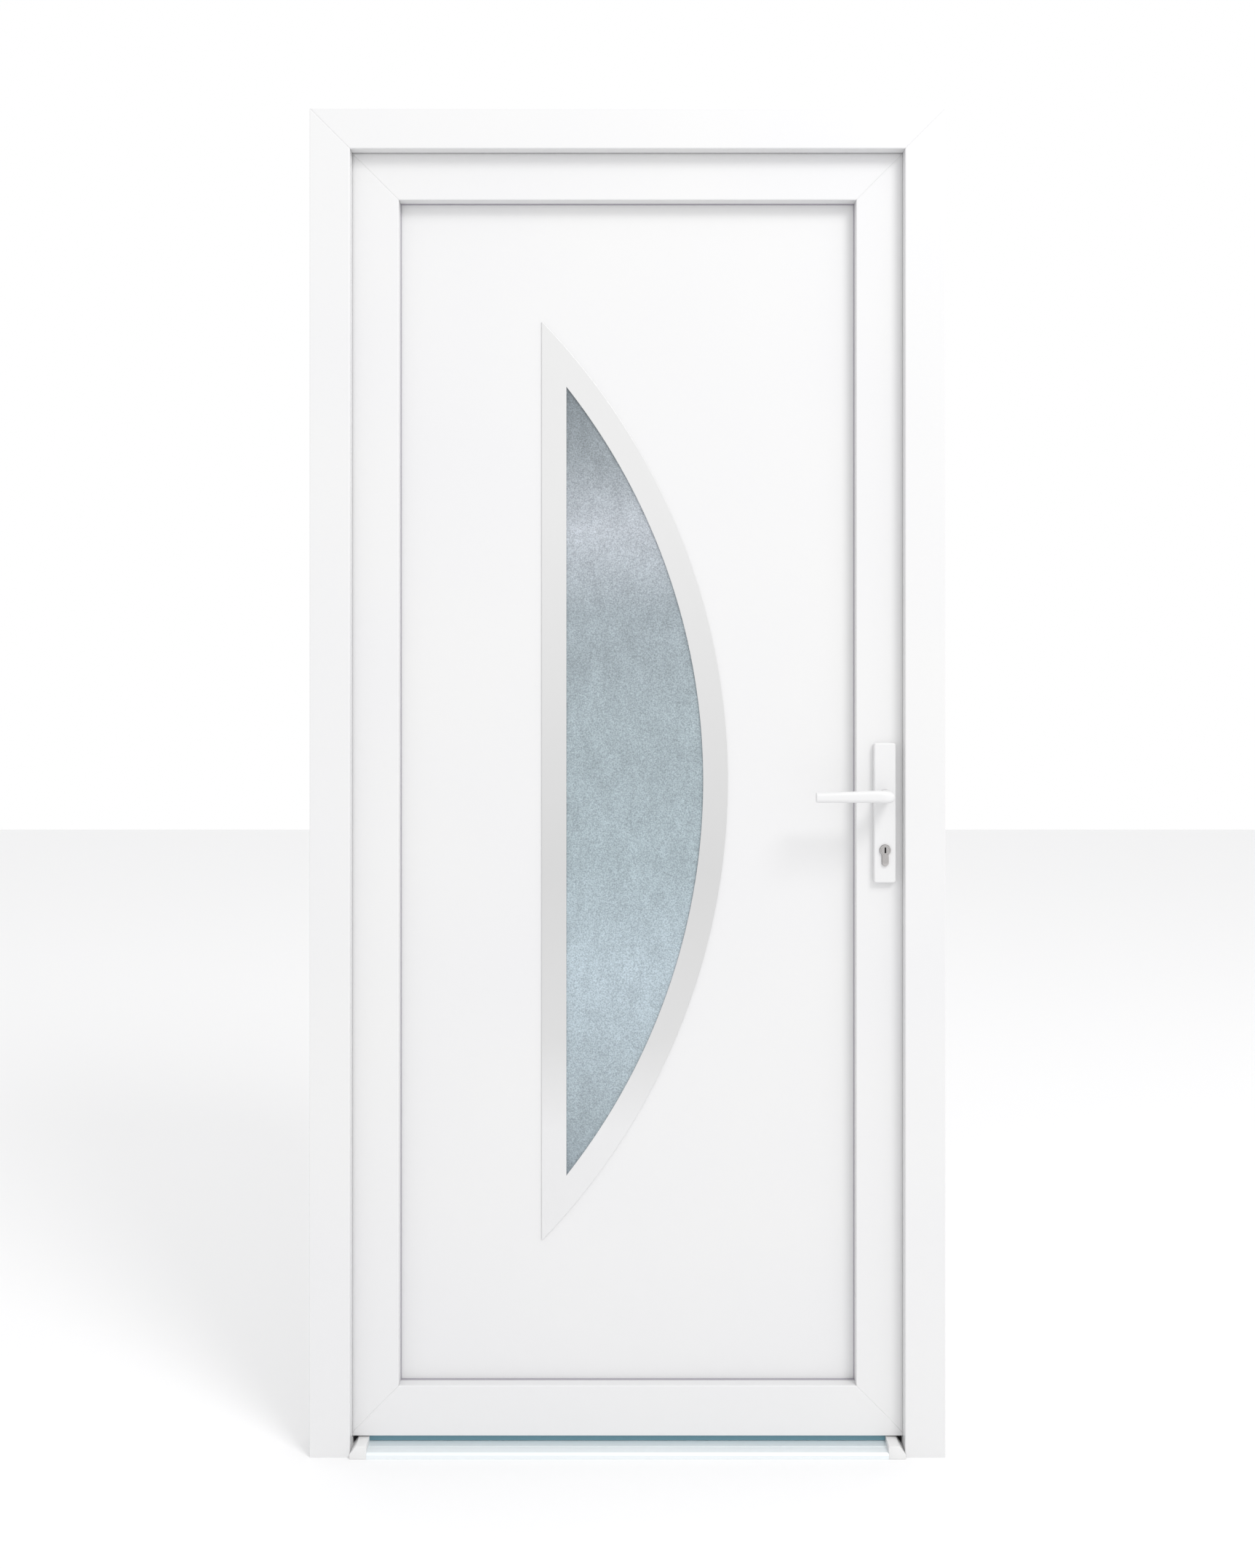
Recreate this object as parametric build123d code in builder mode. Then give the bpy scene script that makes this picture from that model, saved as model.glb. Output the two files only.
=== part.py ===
from build123d import *
import os
from math import sqrt

# A white PVC-U entrance door set: three-sided frame, low aluminium threshold, a leaf that
# opens inwards, a sandwich infill panel with a half-moon double-glazed light, three surface
# hinges and a three-point lock with lever handles.
#
# Millimetres. X runs from the hinge side to the lock side, Y from outside to the room and
# Z up. The origin is on the floor, midway between the jambs and midway through the frame.
# "u" is a distance in from the outer edge of the frame, towards the middle of the door.

# ---- Whole door set ----
door_width = 980
door_height = 2080

# ---- Frame profile ----
frame_depth = 70
frame_base = 44  # outer edge to rebate
frame_flange = 18  # stop that laps over the leaf outside
flange_depth = 19
pvc_wall = 3
rib = 3
flange_round = 5  # soft inner edge of the stop
small_round = 1
side_chamber = 7  # clear width of the narrow chamber beside the steel
wall_hole_radius = 5
wall_hole_y = 3
wall_hole_ends = 170  # from the foot and the top of a jamb to its end holes
wall_hole_inner = 700  # from the foot and the top of a jamb to its inner holes

# ---- Seals ----
seal_set_in = 0.5  # frame seal back from the leaf's edge
seal_margin = 1  # seal or wiper short of the edge beside it
leaf_seal_start = 4  # from the edge of the leaf's flange
leaf_seal_width = 4

# ---- Leaf profile ----
rebate_gap = 12
frame_seal_gap = 2
leaf_seal_gap = 2
leaf_depth = 70
overlap_width = 20  # flange that laps over the frame inside
glazing_leg = 18
glazing_leg_depth = 18
overlap_floor_gap = 5

# ---- Lock groove in the leaf edge ----
faceplate_width = 16
faceplate_thickness = 3
rod_groove_width = 13
rod_groove_depth = 8.5
groove_floor = 2.5

# ---- Steel inside the profiles ----
steel_wall = 2
steel_frame_reach = 26
steel_clearance = 1

# ---- Threshold ----
threshold_height = 20
bottom_gap = 2
nose_reach = 5  # in front of the frame face
nose_height = 9
slope_height = 12
nose_slant = 3
wiper_depth = 3
upstand_y = -6.5
break_y = -2
break_width = 5
cap_length = 26
cap_slant = 10
threshold_wall = 2

# ---- Infill panel and its seals ----
outer_gasket = 3
inner_gasket = 3
gasket_show = 2  # seen beyond the glazing leg
panel_thickness = 24
panel_skin = 1.5
packer_gap = 5
packer_length = 100
bead_width = 20
bead_bevel = 5
bead_mitre_gap = 0.1

# ---- Half-moon light: a straight chord at the hinge side and an arc at the lock side ----
moon_chord_x = -134.3
moon_rise = 291.5
moon_end_margin = 318.5  # from each tip to the top or the foot of the door
trim_width = 39.5
trim_thickness = 2.5
panel_cut_inset = 12
glass_inset = 15
pane_thickness = 4
spacer_width = 12

# ---- Handle and cylinder ----
backset = 35
handle_z = 1020
cylinder_drop = 85  # lever axis down to cylinder axis
plate_width = 34
plate_top = 81  # above the lever axis
plate_bottom = 136  # below the lever axis
plate_thickness = 10
plate_corner = 4
plate_edge = 2.5
lever_length = 113  # axis to tip
lever_heel = 12
lever_stand_off = 45  # plate face to arm centre
lever_arm_depth = 14
lever_tip_height = 14.5
lever_neck_height = 20
neck_radius = 9
spindle_side = 8
bolt_top = 68
bolt_bottom = 123
bolt_short = 3.5  # end of the bolts short of the outer plate's face
cylinder_proud = 3
cylinder_head_radius = 8.5
cylinder_stem = 10
cylinder_height = 33
plug_radius = 6.5
cam_width = 10
cam_reach = 15.3
keyway_width = 2.4
keyway_height = 9
keyway_depth = 25
running_fit = 0.05
clearance = 0.3

# ---- Lock mechanism ----
case_sheet = 1.5
case_thickness = 16
case_back = 19  # behind the lever axis
case_top = 75  # above the lever axis
case_bottom = 63  # below the cylinder axis
mechanism_width = 12
follower_radius = 9
follower_arm = 13
follower_nose = 3
latch_lift = 2  # latch above the tip of the follower's arm
keep_lip_margin = 4  # lip beyond each end of the latch
latch_throw = 10
latch_height = 22
latch_leg = 3
deadbolt_height = 32
deadbolt_length = 42
deadbolt_drop = 46  # lever axis down to the deadbolt's centre
rod_thickness = 4
rod_travel = 18
rod_end_gap = 14  # rod's far end short of the hook's case
rod_near_overlap = {"upper": 7, "lower": 3}  # rod's near end inside the lock case
rod_screws_up = 220  # lever axis to the first screw through the upper rod
rod_screws_down = 280  # lever axis to the first screw through the lower rod
rod_screws_end = {"upper": 250, "lower": 240}  # hook pivot to a rod's last screw
rod_slot_gap = 0.6
hook_top_drop = 380  # top of the door down to the upper hook's pivot
lower_hook_z = 320
lock_setback = 16  # leaf overlap to the middle of the lock groove
hook_pivot_depth = 21  # behind the face of the leaf edge
hook_reach = 42
hook_half_width = 8
hook_claw = 9.5
hook_claw_width = 8
hook_thickness = 8
hook_pin_radius = 3
faceplate_overrun = 90  # past each hook's pivot
keep_thickness = 3
keep_width = 24
keep_lip = 4
keep_end = 28
pocket_depth = 13

# ---- Hinges ----
hinge_foot = 250  # floor to the middle of the lower hinge
hinge_top_drop = 260  # top of the door down to the middle of the upper hinge
hinge_length = 100
hinge_axis_u = 28
hinge_axis_stand = 10  # room face of the leaf to the pin's axis
knuckle_radius = 9
hinge_pin_radius = 5
wing_thickness = 4
frame_wing_width = 22
leaf_wing_width = 40
hinge_split = 2
wing_start = 5  # knuckle to where the leaf wing lies flat
frame_wing_start = 4  # pin's axis to the frame wing's near edge
pin_short = 2  # pin short of the top of the upper knuckle
wing_screw_share = 0.35  # of the hinge's length, from its middle
frame_screw_edge = 7  # far edge of the frame wing to its screws
leaf_screw_edge = 10  # far edge of the leaf wing to its screws

# ---- Screws and bolts ----
screw_radius = 2
screw_head_radius = 3.5
screw_head_height = 1.5
screw_length = 13
bolt_radius = 2.5
bolt_head_radius = 4.5
bolt_head_height = 3

# ---- Places worked out from the values above ----
half_width = door_width / 2
frame_out = -frame_depth / 2
frame_in = frame_depth / 2
flange_back = frame_out + flange_depth
frame_edge_u = frame_base + frame_flange
leaf_out = flange_back + frame_seal_gap
leaf_in = leaf_out + leaf_depth
overlap_out = frame_in + leaf_seal_gap
leaf_edge_u = frame_base + rebate_gap
leaf_body = backset + case_back + steel_clearance + steel_wall + pvc_wall
overlap_u = leaf_edge_u - overlap_width
glazing_u = leaf_edge_u + leaf_body
sight_u = glazing_u + glazing_leg
leg_back = leaf_out + glazing_leg_depth
panel_out = leg_back + outer_gasket
panel_in = panel_out + panel_thickness
bead_out = panel_in + inner_gasket
panel_u = glazing_u + packer_gap
leaf_bottom = threshold_height + bottom_gap
datum_bottom = leaf_bottom - leaf_edge_u  # where u = 0 would be under the leaf
datum_height = door_height - datum_bottom

edge_x = half_width - leaf_edge_u  # lock edge of the leaf body
rebate_x = half_width - frame_base
stop_x = half_width - frame_edge_u
spindle_x = edge_x - backset
cylinder_z = handle_z - cylinder_drop
lock_y = overlap_out - lock_setback
upper_hook_z = door_height - hook_top_drop
faceplate_back_x = edge_x - faceplate_thickness
groove_y = (lock_y - faceplate_width / 2, lock_y + faceplate_width / 2)
rod_groove_y = (lock_y - rod_groove_width / 2, lock_y + rod_groove_width / 2)
groove_u = leaf_edge_u + faceplate_thickness
rod_groove_u = leaf_edge_u + rod_groove_depth
chamber_u = rod_groove_u + groove_floor
mechanism_y = (lock_y - mechanism_width / 2, lock_y + mechanism_width / 2)
case_y = (lock_y - case_thickness / 2, lock_y + case_thickness / 2)
deadbolt_z = handle_z - deadbolt_drop
latch_low = handle_z + follower_arm + follower_nose + latch_lift
latch_z = latch_low + latch_height / 2
hook_x = edge_x - hook_pivot_depth
hook_sweep = sqrt(hook_reach**2 + (hook_half_width + hook_claw) ** 2)
hinge_x = -half_width + hinge_axis_u
hinge_y = leaf_in + hinge_axis_stand
hinge_high = door_height - hinge_top_drop
hinge_heights = {
    "lower": hinge_foot,
    "middle": (hinge_foot + hinge_high) / 2,
    "upper": hinge_high,
}
wall_hole_heights = [
    wall_hole_ends,
    wall_hole_inner,
    door_height - wall_hole_inner,
    door_height - wall_hole_ends,
]
plate_out = leaf_out - plate_thickness
plate_in = leaf_in + plate_thickness
moon_z = door_height / 2
moon_chord_length = door_height - 2 * moon_end_margin
moon_radius = ((moon_chord_length / 2) ** 2 + moon_rise**2) / (2 * moon_rise)
moon_centre_x = moon_chord_x + moon_rise - moon_radius

# One plane for each side of the door: local x is u, local y is Y, and the profile is
# extruded along the side.
side_planes = {
    "hinge": Plane(origin=(-half_width, 0, datum_bottom), x_dir=(1, 0, 0), z_dir=(0, 0, 1)),
    "lock": Plane(origin=(half_width, 0, door_height), x_dir=(-1, 0, 0), z_dir=(0, 0, -1)),
    "top": Plane(origin=(-half_width, 0, door_height), x_dir=(0, 0, -1), z_dir=(1, 0, 0)),
    "bottom": Plane(origin=(half_width, 0, datum_bottom), x_dir=(0, 0, 1), z_dir=(-1, 0, 0)),
}
side_lengths = {
    "hinge": datum_height,
    "lock": datum_height,
    "top": door_width,
    "bottom": door_width,
}

os.makedirs("parts", exist_ok=True)


def save(piece, name):
    """Label a finished piece and write its STEP file."""
    piece.part.label = name
    export_step(piece.part, f"parts/{name}.step")


def facing(y):
    """Sketch plane at depth y, seen from outside: local x is X, local y is Z."""
    return Plane.XZ.offset(-y)


def block(x, y, z, mode=Mode.ADD):
    """Box between three (low, high) pairs, added to or cut from the current part."""
    with Locations(((x[0] + x[1]) / 2, (y[0] + y[1]) / 2, (z[0] + z[1]) / 2)):
        Box(x[1] - x[0], y[1] - y[0], z[1] - z[0], mode=mode)


def round_bar(x, y, z, radius, mode=Mode.ADD):
    """Cylinder along the one direction whose (low, high) pair isn't a single number."""
    if isinstance(x, (tuple, list)):
        centre, length, turn = (sum(x) / 2, y, z), x[1] - x[0], (0, 90, 0)
    elif isinstance(y, (tuple, list)):
        centre, length, turn = (x, sum(y) / 2, z), y[1] - y[0], (90, 0, 0)
    else:
        centre, length, turn = (x, y, sum(z) / 2), z[1] - z[0], (0, 0, 0)
    with Locations(centre):
        Cylinder(radius, length, rotation=turn, mode=mode)


def screw(place, inwards, length, radii, head_height, mode=Mode.ADD):
    """Flush-headed screw: place is the middle of its head, inwards the way it is driven."""
    with Locations(Plane(origin=place, z_dir=inwards)):
        Cylinder(radii[0], length, align=(Align.CENTER, Align.CENTER, Align.MIN), mode=mode)
        Cylinder(
            radii[1], head_height, align=(Align.CENTER, Align.CENTER, Align.MIN), mode=mode
        )


def wood_screws(places, inwards, mode=Mode.ADD):
    """Countersunk profile screws at a list of places."""
    for place in places:
        screw(
            place,
            inwards,
            screw_length,
            (screw_radius, screw_head_radius),
            screw_head_height,
            mode,
        )


def u_rectangle(u, low=None):
    """Width, height and middle of the rectangle that lies u in from the frame's edge."""
    bottom = datum_bottom + u if low is None else low
    return door_width - 2 * u, door_height - u - bottom, (door_height - u + bottom) / 2


def u_ring(outer_u, inner_u, y, low=None):
    """Ring round the leaf between two values of u; with a low, it is open below it."""
    with BuildPart() as ring:
        with BuildSketch(facing(y[1])):
            width, height, middle = u_rectangle(outer_u, low)
            with Locations((0, middle)):
                Rectangle(width, height)
            width, height, middle = u_rectangle(inner_u, low)
            with Locations((0, middle)):
                Rectangle(width, height, mode=Mode.SUBTRACT)
        extrude(amount=y[1] - y[0])
    return ring


def mitred_bar(side, outline, chambers=(), rounds=(), floor=None, trim=0):
    """Profile bar on one side of the door, mitred at 45 degrees, or square at a floor."""
    reach = sight_u + bead_width
    left, right, low, high = -half_width, half_width, datum_bottom, door_height
    foot, inner_foot = (low + trim, low + reach + trim) if floor is None else (floor, floor)
    ends = {
        "hinge": [
            (left, foot),
            (left, high - trim),
            (left + reach, high - reach - trim),
            (left + reach, inner_foot),
        ],
        "lock": [
            (right, foot),
            (right, high - trim),
            (right - reach, high - reach - trim),
            (right - reach, inner_foot),
        ],
        "top": [
            (left + trim, high),
            (right - trim, high),
            (right - reach - trim, high - reach),
            (left + reach + trim, high - reach),
        ],
        "bottom": [
            (left + trim, low),
            (right - trim, low),
            (right - reach - trim, low + reach),
            (left + reach + trim, low + reach),
        ],
    }
    with BuildPart() as bar:
        with BuildSketch(side_planes[side]) as section:
            with BuildLine():
                Polyline(*outline, close=True)
            make_face()
            for u, y, radius in rounds:
                fillet(section.vertices().sort_by_distance((u, y, 0))[0], radius)
            for u_low, y_low, u_high, y_high in chambers:
                with Locations(((u_low + u_high) / 2, (y_low + y_high) / 2)):
                    Rectangle(u_high - u_low, y_high - y_low, mode=Mode.SUBTRACT)
        extrude(amount=side_lengths[side])
        with BuildSketch(Plane.XZ):
            with BuildLine():
                Polyline(*ends[side], close=True)
            make_face()
        extrude(amount=2 * leaf_depth, both=True, mode=Mode.INTERSECT)
    return bar


def square_bar(side, outline, start_gap, end_gap):
    """Straight length of section on one side of the door, cut square short of both ends."""
    with BuildPart() as bar:
        with BuildSketch(side_planes[side].offset(start_gap)):
            with BuildLine():
                Polyline(*outline, close=True)
            make_face()
        extrude(amount=side_lengths[side] - start_gap - end_gap)
    return bar


def half_moon(inset):
    """D shape of the light, drawn as X and Z, its whole outline moved in by the inset."""
    chord = moon_chord_x + inset
    radius = moon_radius - inset
    half = sqrt(radius**2 - (chord - moon_centre_x) ** 2)
    with BuildSketch() as moon:
        with BuildLine():
            Line((chord, moon_z - half), (chord, moon_z + half))
            ThreePointArc(
                (chord, moon_z + half), (moon_centre_x + radius, moon_z), (chord, moon_z - half)
            )
        make_face()
    return moon.sketch


def moon_plate(outer_inset, y, inner_inset=None):
    """Half-moon slab between two depths, hollow where an inner inset is given."""
    with BuildPart() as plate:
        with BuildSketch(facing(y[1])):
            add(half_moon(outer_inset))
            if inner_inset is not None:
                add(half_moon(inner_inset), mode=Mode.SUBTRACT)
        extrude(amount=y[1] - y[0])
    return plate


def infill_sheet(y):
    """One layer of the infill panel, with the hole for the half-moon light."""
    with BuildPart() as sheet:
        with BuildSketch(facing(y[1])):
            width, height, middle = u_rectangle(panel_u)
            with Locations((0, middle)):
                Rectangle(width, height)
            add(half_moon(panel_cut_inset), mode=Mode.SUBTRACT)
        extrude(amount=y[1] - y[0])
    return sheet


def cylinder_outline(gap=0):
    """Keyhole-shaped section of the lock cylinder, drawn as X and Z, grown by a gap."""
    foot_radius = cylinder_stem / 2
    foot_z = cylinder_z + cylinder_head_radius - cylinder_height + foot_radius
    with BuildSketch() as outline:
        with Locations((spindle_x, cylinder_z)):
            Circle(cylinder_head_radius + gap)
        with Locations((spindle_x, (cylinder_z + foot_z) / 2)):
            Rectangle(cylinder_stem + 2 * gap, cylinder_z - foot_z)
        with Locations((spindle_x, foot_z)):
            Circle(foot_radius + gap)
    return outline.sketch


def cut_cylinder(y, gap=0):
    """Cut the lock cylinder's shape through the current part between two depths."""
    extrude(Plane.XZ.offset(-y[1]) * cylinder_outline(gap), amount=y[1] - y[0], mode=Mode.SUBTRACT)


# ---- Places of the screws and bolts ----
hook_heights = {"upper": (upper_hook_z, 1), "lower": (lower_hook_z, -1)}
handle_bolt_z = [handle_z + bolt_top, handle_z - bolt_bottom]
bolt_span = plate_in - plate_out - bolt_short
faceplate_low = lower_hook_z - faceplate_overrun
faceplate_high = upper_hook_z + faceplate_overrun
rod_screw_z = {
    "upper": [handle_z + rod_screws_up, upper_hook_z - rod_screws_end["upper"]],
    "lower": [lower_hook_z + rod_screws_end["lower"], handle_z - rod_screws_down],
}
faceplate_screws = [
    (edge_x, lock_y, z)
    for z in [faceplate_low + 15, *rod_screw_z["lower"], *rod_screw_z["upper"], faceplate_high - 15]
]
cylinder_screw_z = cylinder_z + cylinder_head_radius - cylinder_height + 4
keep_face_x = rebate_x - keep_thickness
centre_keep_z = (deadbolt_z - deadbolt_height / 2 - keep_end, latch_z + latch_height / 2 + keep_end)
hook_keep_z = {
    name: tuple(sorted((z - up * keep_end * 1.5, z + up * (hook_sweep + keep_end))))
    for name, (z, up) in hook_heights.items()
}
keep_screws = [
    (keep_face_x, lock_y, z)
    for low, high in [centre_keep_z, *hook_keep_z.values()]
    for z in (low + keep_end / 3, high - keep_end / 3)
]
wing_screw_rise = [-hinge_length * wing_screw_share, hinge_length * wing_screw_share]
frame_wing_x = (hinge_x - frame_wing_start - frame_wing_width, hinge_x - frame_wing_start)
frame_wing_screws = [
    (frame_wing_x[0] + frame_screw_edge, frame_in + wing_thickness, z + rise)
    for z in hinge_heights.values()
    for rise in wing_screw_rise
]
leaf_wing_low = hinge_x + knuckle_radius + wing_start
leaf_wing_x = (leaf_wing_low, leaf_wing_low + leaf_wing_width)
leaf_wing_screws = [
    (leaf_wing_x[1] - leaf_screw_edge, leaf_in + wing_thickness, z + rise)
    for z in hinge_heights.values()
    for rise in wing_screw_rise
]

# ---- Frame: head and two jambs, mitred and welded, hollow, with steel in the main chamber ----
frame_outline = [
    (0, frame_out),
    (frame_edge_u, frame_out),
    (frame_edge_u, flange_back),
    (frame_base, flange_back),
    (frame_base, frame_in),
    (0, frame_in),
]
main_chamber_in = frame_in - 2 * pvc_wall - side_chamber
frame_chambers = [
    (pvc_wall, frame_out + pvc_wall, frame_edge_u - pvc_wall, flange_back - pvc_wall),
    (pvc_wall, flange_back, frame_base - pvc_wall, main_chamber_in),
    (pvc_wall, main_chamber_in + rib, frame_base - pvc_wall, frame_in - pvc_wall),
]
frame_rounds = [
    (frame_edge_u, frame_out, flange_round),
    (frame_edge_u, flange_back, small_round),
    (0, frame_out, small_round),
]


def wall_holes(x, mode=Mode.SUBTRACT):
    """Holes through a jamb for the screws that hold it to the wall."""
    for z in wall_hole_heights:
        round_bar(x, wall_hole_y, z, wall_hole_radius, mode=mode)


with BuildPart() as frame_head:
    add(mitred_bar("top", frame_outline, frame_chambers, frame_rounds).part)
save(frame_head, "frame_head")

with BuildPart() as frame_jamb_hinge_side:
    add(mitred_bar("hinge", frame_outline, frame_chambers, frame_rounds, floor=0).part)
    wall_holes((-half_width, -rebate_x))
    wood_screws(frame_wing_screws, (0, -1, 0), Mode.SUBTRACT)
save(frame_jamb_hinge_side, "frame_jamb_hinge_side")

with BuildPart() as frame_jamb_lock_side:
    add(mitred_bar("lock", frame_outline, frame_chambers, frame_rounds, floor=0).part)
    wall_holes((rebate_x, half_width))
    wood_screws(keep_screws, (1, 0, 0), Mode.SUBTRACT)
    pocket_x = (rebate_x, rebate_x + pocket_depth)
    half_bolt = deadbolt_height / 2 + 2
    block(pocket_x, groove_y, (deadbolt_z - half_bolt, deadbolt_z + half_bolt), Mode.SUBTRACT)
    for hook_z, up in hook_heights.values():
        ends = sorted((hook_z - up * (hook_half_width + hook_claw + 2), hook_z + up * hook_sweep))
        block(pocket_x, groove_y, ends, Mode.SUBTRACT)
save(frame_jamb_lock_side, "frame_jamb_lock_side")

steel_u = pvc_wall + steel_clearance
steel_y = (flange_back + steel_clearance / 2, main_chamber_in - steel_clearance / 2)
frame_steel_outline = [
    (steel_u + steel_frame_reach, steel_y[0]),
    (steel_u, steel_y[0]),
    (steel_u, steel_y[1]),
    (steel_u + steel_frame_reach, steel_y[1]),
    (steel_u + steel_frame_reach, steel_y[1] - steel_wall),
    (steel_u + steel_wall, steel_y[1] - steel_wall),
    (steel_u + steel_wall, steel_y[0] + steel_wall),
    (steel_u + steel_frame_reach, steel_y[0] + steel_wall),
]
steel_foot_gap = overlap_floor_gap - datum_bottom
with BuildPart() as frame_steel:
    add(square_bar("top", frame_steel_outline, frame_edge_u, frame_edge_u).part)
    add(square_bar("hinge", frame_steel_outline, steel_foot_gap, frame_edge_u).part)
    add(square_bar("lock", frame_steel_outline, frame_edge_u, steel_foot_gap).part)
    wall_holes((-half_width, -rebate_x))
    wall_holes((rebate_x, half_width))
save(frame_steel, "frame_steel")

frame_seal = u_ring(
    leaf_edge_u + seal_set_in,
    frame_edge_u - seal_margin,
    (flange_back, leaf_out - clearance),
    low=threshold_height + seal_margin,
)
save(frame_seal, "frame_seal")

# ---- Threshold: two aluminium rails either side of a plastic break, and two end caps ----
outer_rail_x = (-stop_x + cap_length, stop_x - cap_length)
nose_y = frame_out - nose_reach
outer_rail_outline = [
    (nose_y, 0),
    (nose_y, nose_height - nose_slant),
    (nose_y + nose_slant, nose_height),
    (upstand_y, slope_height),
    (upstand_y, threshold_height),
    (break_y, threshold_height),
    (break_y, 0),
]
rail_chamber = [
    (nose_y + 2 * threshold_wall, threshold_wall),
    (nose_y + 2 * threshold_wall, nose_height - threshold_wall),
    (upstand_y - threshold_wall, slope_height - threshold_wall),
    (upstand_y - threshold_wall, threshold_wall),
]
with BuildPart() as threshold_outer:
    with BuildSketch(Plane.YZ.offset(outer_rail_x[0])):
        with BuildLine():
            Polyline(*outer_rail_outline, close=True)
        make_face()
        with BuildLine():
            Polyline(*rail_chamber, close=True)
        make_face(mode=Mode.SUBTRACT)
    extrude(amount=outer_rail_x[1] - outer_rail_x[0])
save(threshold_outer, "threshold_outer")

break_end = break_y + break_width
with BuildPart() as threshold_break:
    block((-rebate_x, rebate_x), (break_y, break_end), (0, threshold_height))
save(threshold_break, "threshold_break")

with BuildPart() as threshold_inner:
    block((-rebate_x, rebate_x), (break_end, frame_in), (0, threshold_height))
    block(
        (-rebate_x, rebate_x),
        (break_end + threshold_wall, frame_in - threshold_wall),
        (threshold_wall, threshold_height - threshold_wall),
        Mode.SUBTRACT,
    )
save(threshold_inner, "threshold_inner")

for name, side in {"hinge_side": -1, "lock_side": 1}.items():
    inner_x, outer_x = side * outer_rail_x[1], side * stop_x
    with BuildPart() as threshold_cap:
        with BuildSketch(facing(break_y)):
            with BuildLine():
                Polyline(
                    (inner_x, 0),
                    (outer_x, 0),
                    (outer_x, threshold_height / 3),
                    (outer_x - side * cap_slant, threshold_height),
                    (inner_x, threshold_height),
                    close=True,
                )
            make_face()
        extrude(amount=break_y - nose_y)
        block(
            sorted((side * stop_x, side * rebate_x)),
            (flange_back, break_y),
            (0, threshold_height),
        )
    save(threshold_cap, f"threshold_cap_{name}")

with BuildPart() as threshold_seal:
    block(
        outer_rail_x,
        (upstand_y - wiper_depth, upstand_y),
        (slope_height + clearance, leaf_bottom - 2 * clearance),
    )
save(threshold_seal, "threshold_seal")

# ---- Leaf: four mitred and welded profiles with a lock groove, and steel channels ----
leaf_outline = [
    (leaf_edge_u, leaf_out),
    (sight_u, leaf_out),
    (sight_u, leg_back),
    (glazing_u, leg_back),
    (glazing_u, leaf_in),
    (overlap_u, leaf_in),
    (overlap_u, overlap_out),
    (leaf_edge_u, overlap_out),
    (leaf_edge_u, groove_y[1]),
    (groove_u, groove_y[1]),
    (groove_u, rod_groove_y[1]),
    (rod_groove_u, rod_groove_y[1]),
    (rod_groove_u, rod_groove_y[0]),
    (groove_u, rod_groove_y[0]),
    (groove_u, groove_y[0]),
    (leaf_edge_u, groove_y[0]),
]
web_out = leaf_out + 2 * pvc_wall + side_chamber
web_in = leaf_in - 2 * pvc_wall - side_chamber
leaf_chambers = [
    (leaf_edge_u + pvc_wall, leaf_out + pvc_wall, glazing_u - 2 * pvc_wall, web_out - rib),
    (glazing_u, leaf_out + pvc_wall, sight_u - pvc_wall, leg_back - pvc_wall),
    (chamber_u, web_out, glazing_u - pvc_wall, web_in),
    (overlap_u + pvc_wall, overlap_out + pvc_wall, leaf_edge_u, leaf_in - pvc_wall),
    (leaf_edge_u + pvc_wall, web_in + rib, glazing_u - pvc_wall, leaf_in - pvc_wall),
]
leaf_rounds = [
    (sight_u, leaf_out, flange_round),
    (leaf_edge_u, leaf_out, small_round),
    (overlap_u, leaf_in, 3 * small_round),
    (overlap_u, overlap_out, small_round),
]
floor_cut_x = (-half_width, half_width)
floor_cut_z = (datum_bottom, overlap_floor_gap)


def hardware_cuts(mode=Mode.SUBTRACT):
    """Cuts that the lock cylinder, the spindle and the handle bolts need in the lock stile."""
    cut_cylinder((leaf_out, leaf_in), 2 * clearance)
    round_bar(spindle_x, (leaf_out, leaf_in), handle_z, neck_radius + 2, mode)
    for z in handle_bolt_z:
        round_bar(spindle_x, (leaf_out, leaf_in), z, bolt_radius, mode)


for side, name in {"top": "leaf_top_rail", "hinge": "leaf_hinge_stile"}.items():
    with BuildPart() as leaf_member:
        add(mitred_bar(side, leaf_outline, leaf_chambers, leaf_rounds).part)
        if side == "hinge":
            wood_screws(leaf_wing_screws, (0, -1, 0), Mode.SUBTRACT)
            block(floor_cut_x, (leaf_out, leaf_in), floor_cut_z, Mode.SUBTRACT)
    save(leaf_member, name)

with BuildPart() as leaf_bottom_rail:
    add(mitred_bar("bottom", leaf_outline, leaf_chambers, leaf_rounds).part)
    block(floor_cut_x, (leaf_out, leaf_in), floor_cut_z, Mode.SUBTRACT)
save(leaf_bottom_rail, "leaf_bottom_rail")

case_z = (cylinder_z - case_bottom, handle_z + case_top)
hook_case_z = {
    name: tuple(sorted((z - up * 2 * rod_travel, z + up * (hook_reach + 6))))
    for name, (z, up) in hook_heights.items()
}
with BuildPart() as leaf_lock_stile:
    add(mitred_bar("lock", leaf_outline, leaf_chambers, leaf_rounds).part)
    block(floor_cut_x, (leaf_out, leaf_in), floor_cut_z, Mode.SUBTRACT)
    hardware_cuts()
    milled_x = (half_width - chamber_u, faceplate_back_x)
    milled_y = (case_y[0] - clearance, case_y[1] + clearance)
    for low, high in [case_z, *hook_case_z.values()]:
        block(milled_x, milled_y, (low - clearance, high + clearance), Mode.SUBTRACT)
    wood_screws(faceplate_screws, (-1, 0, 0), Mode.SUBTRACT)
save(leaf_lock_stile, "leaf_lock_stile")

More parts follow.
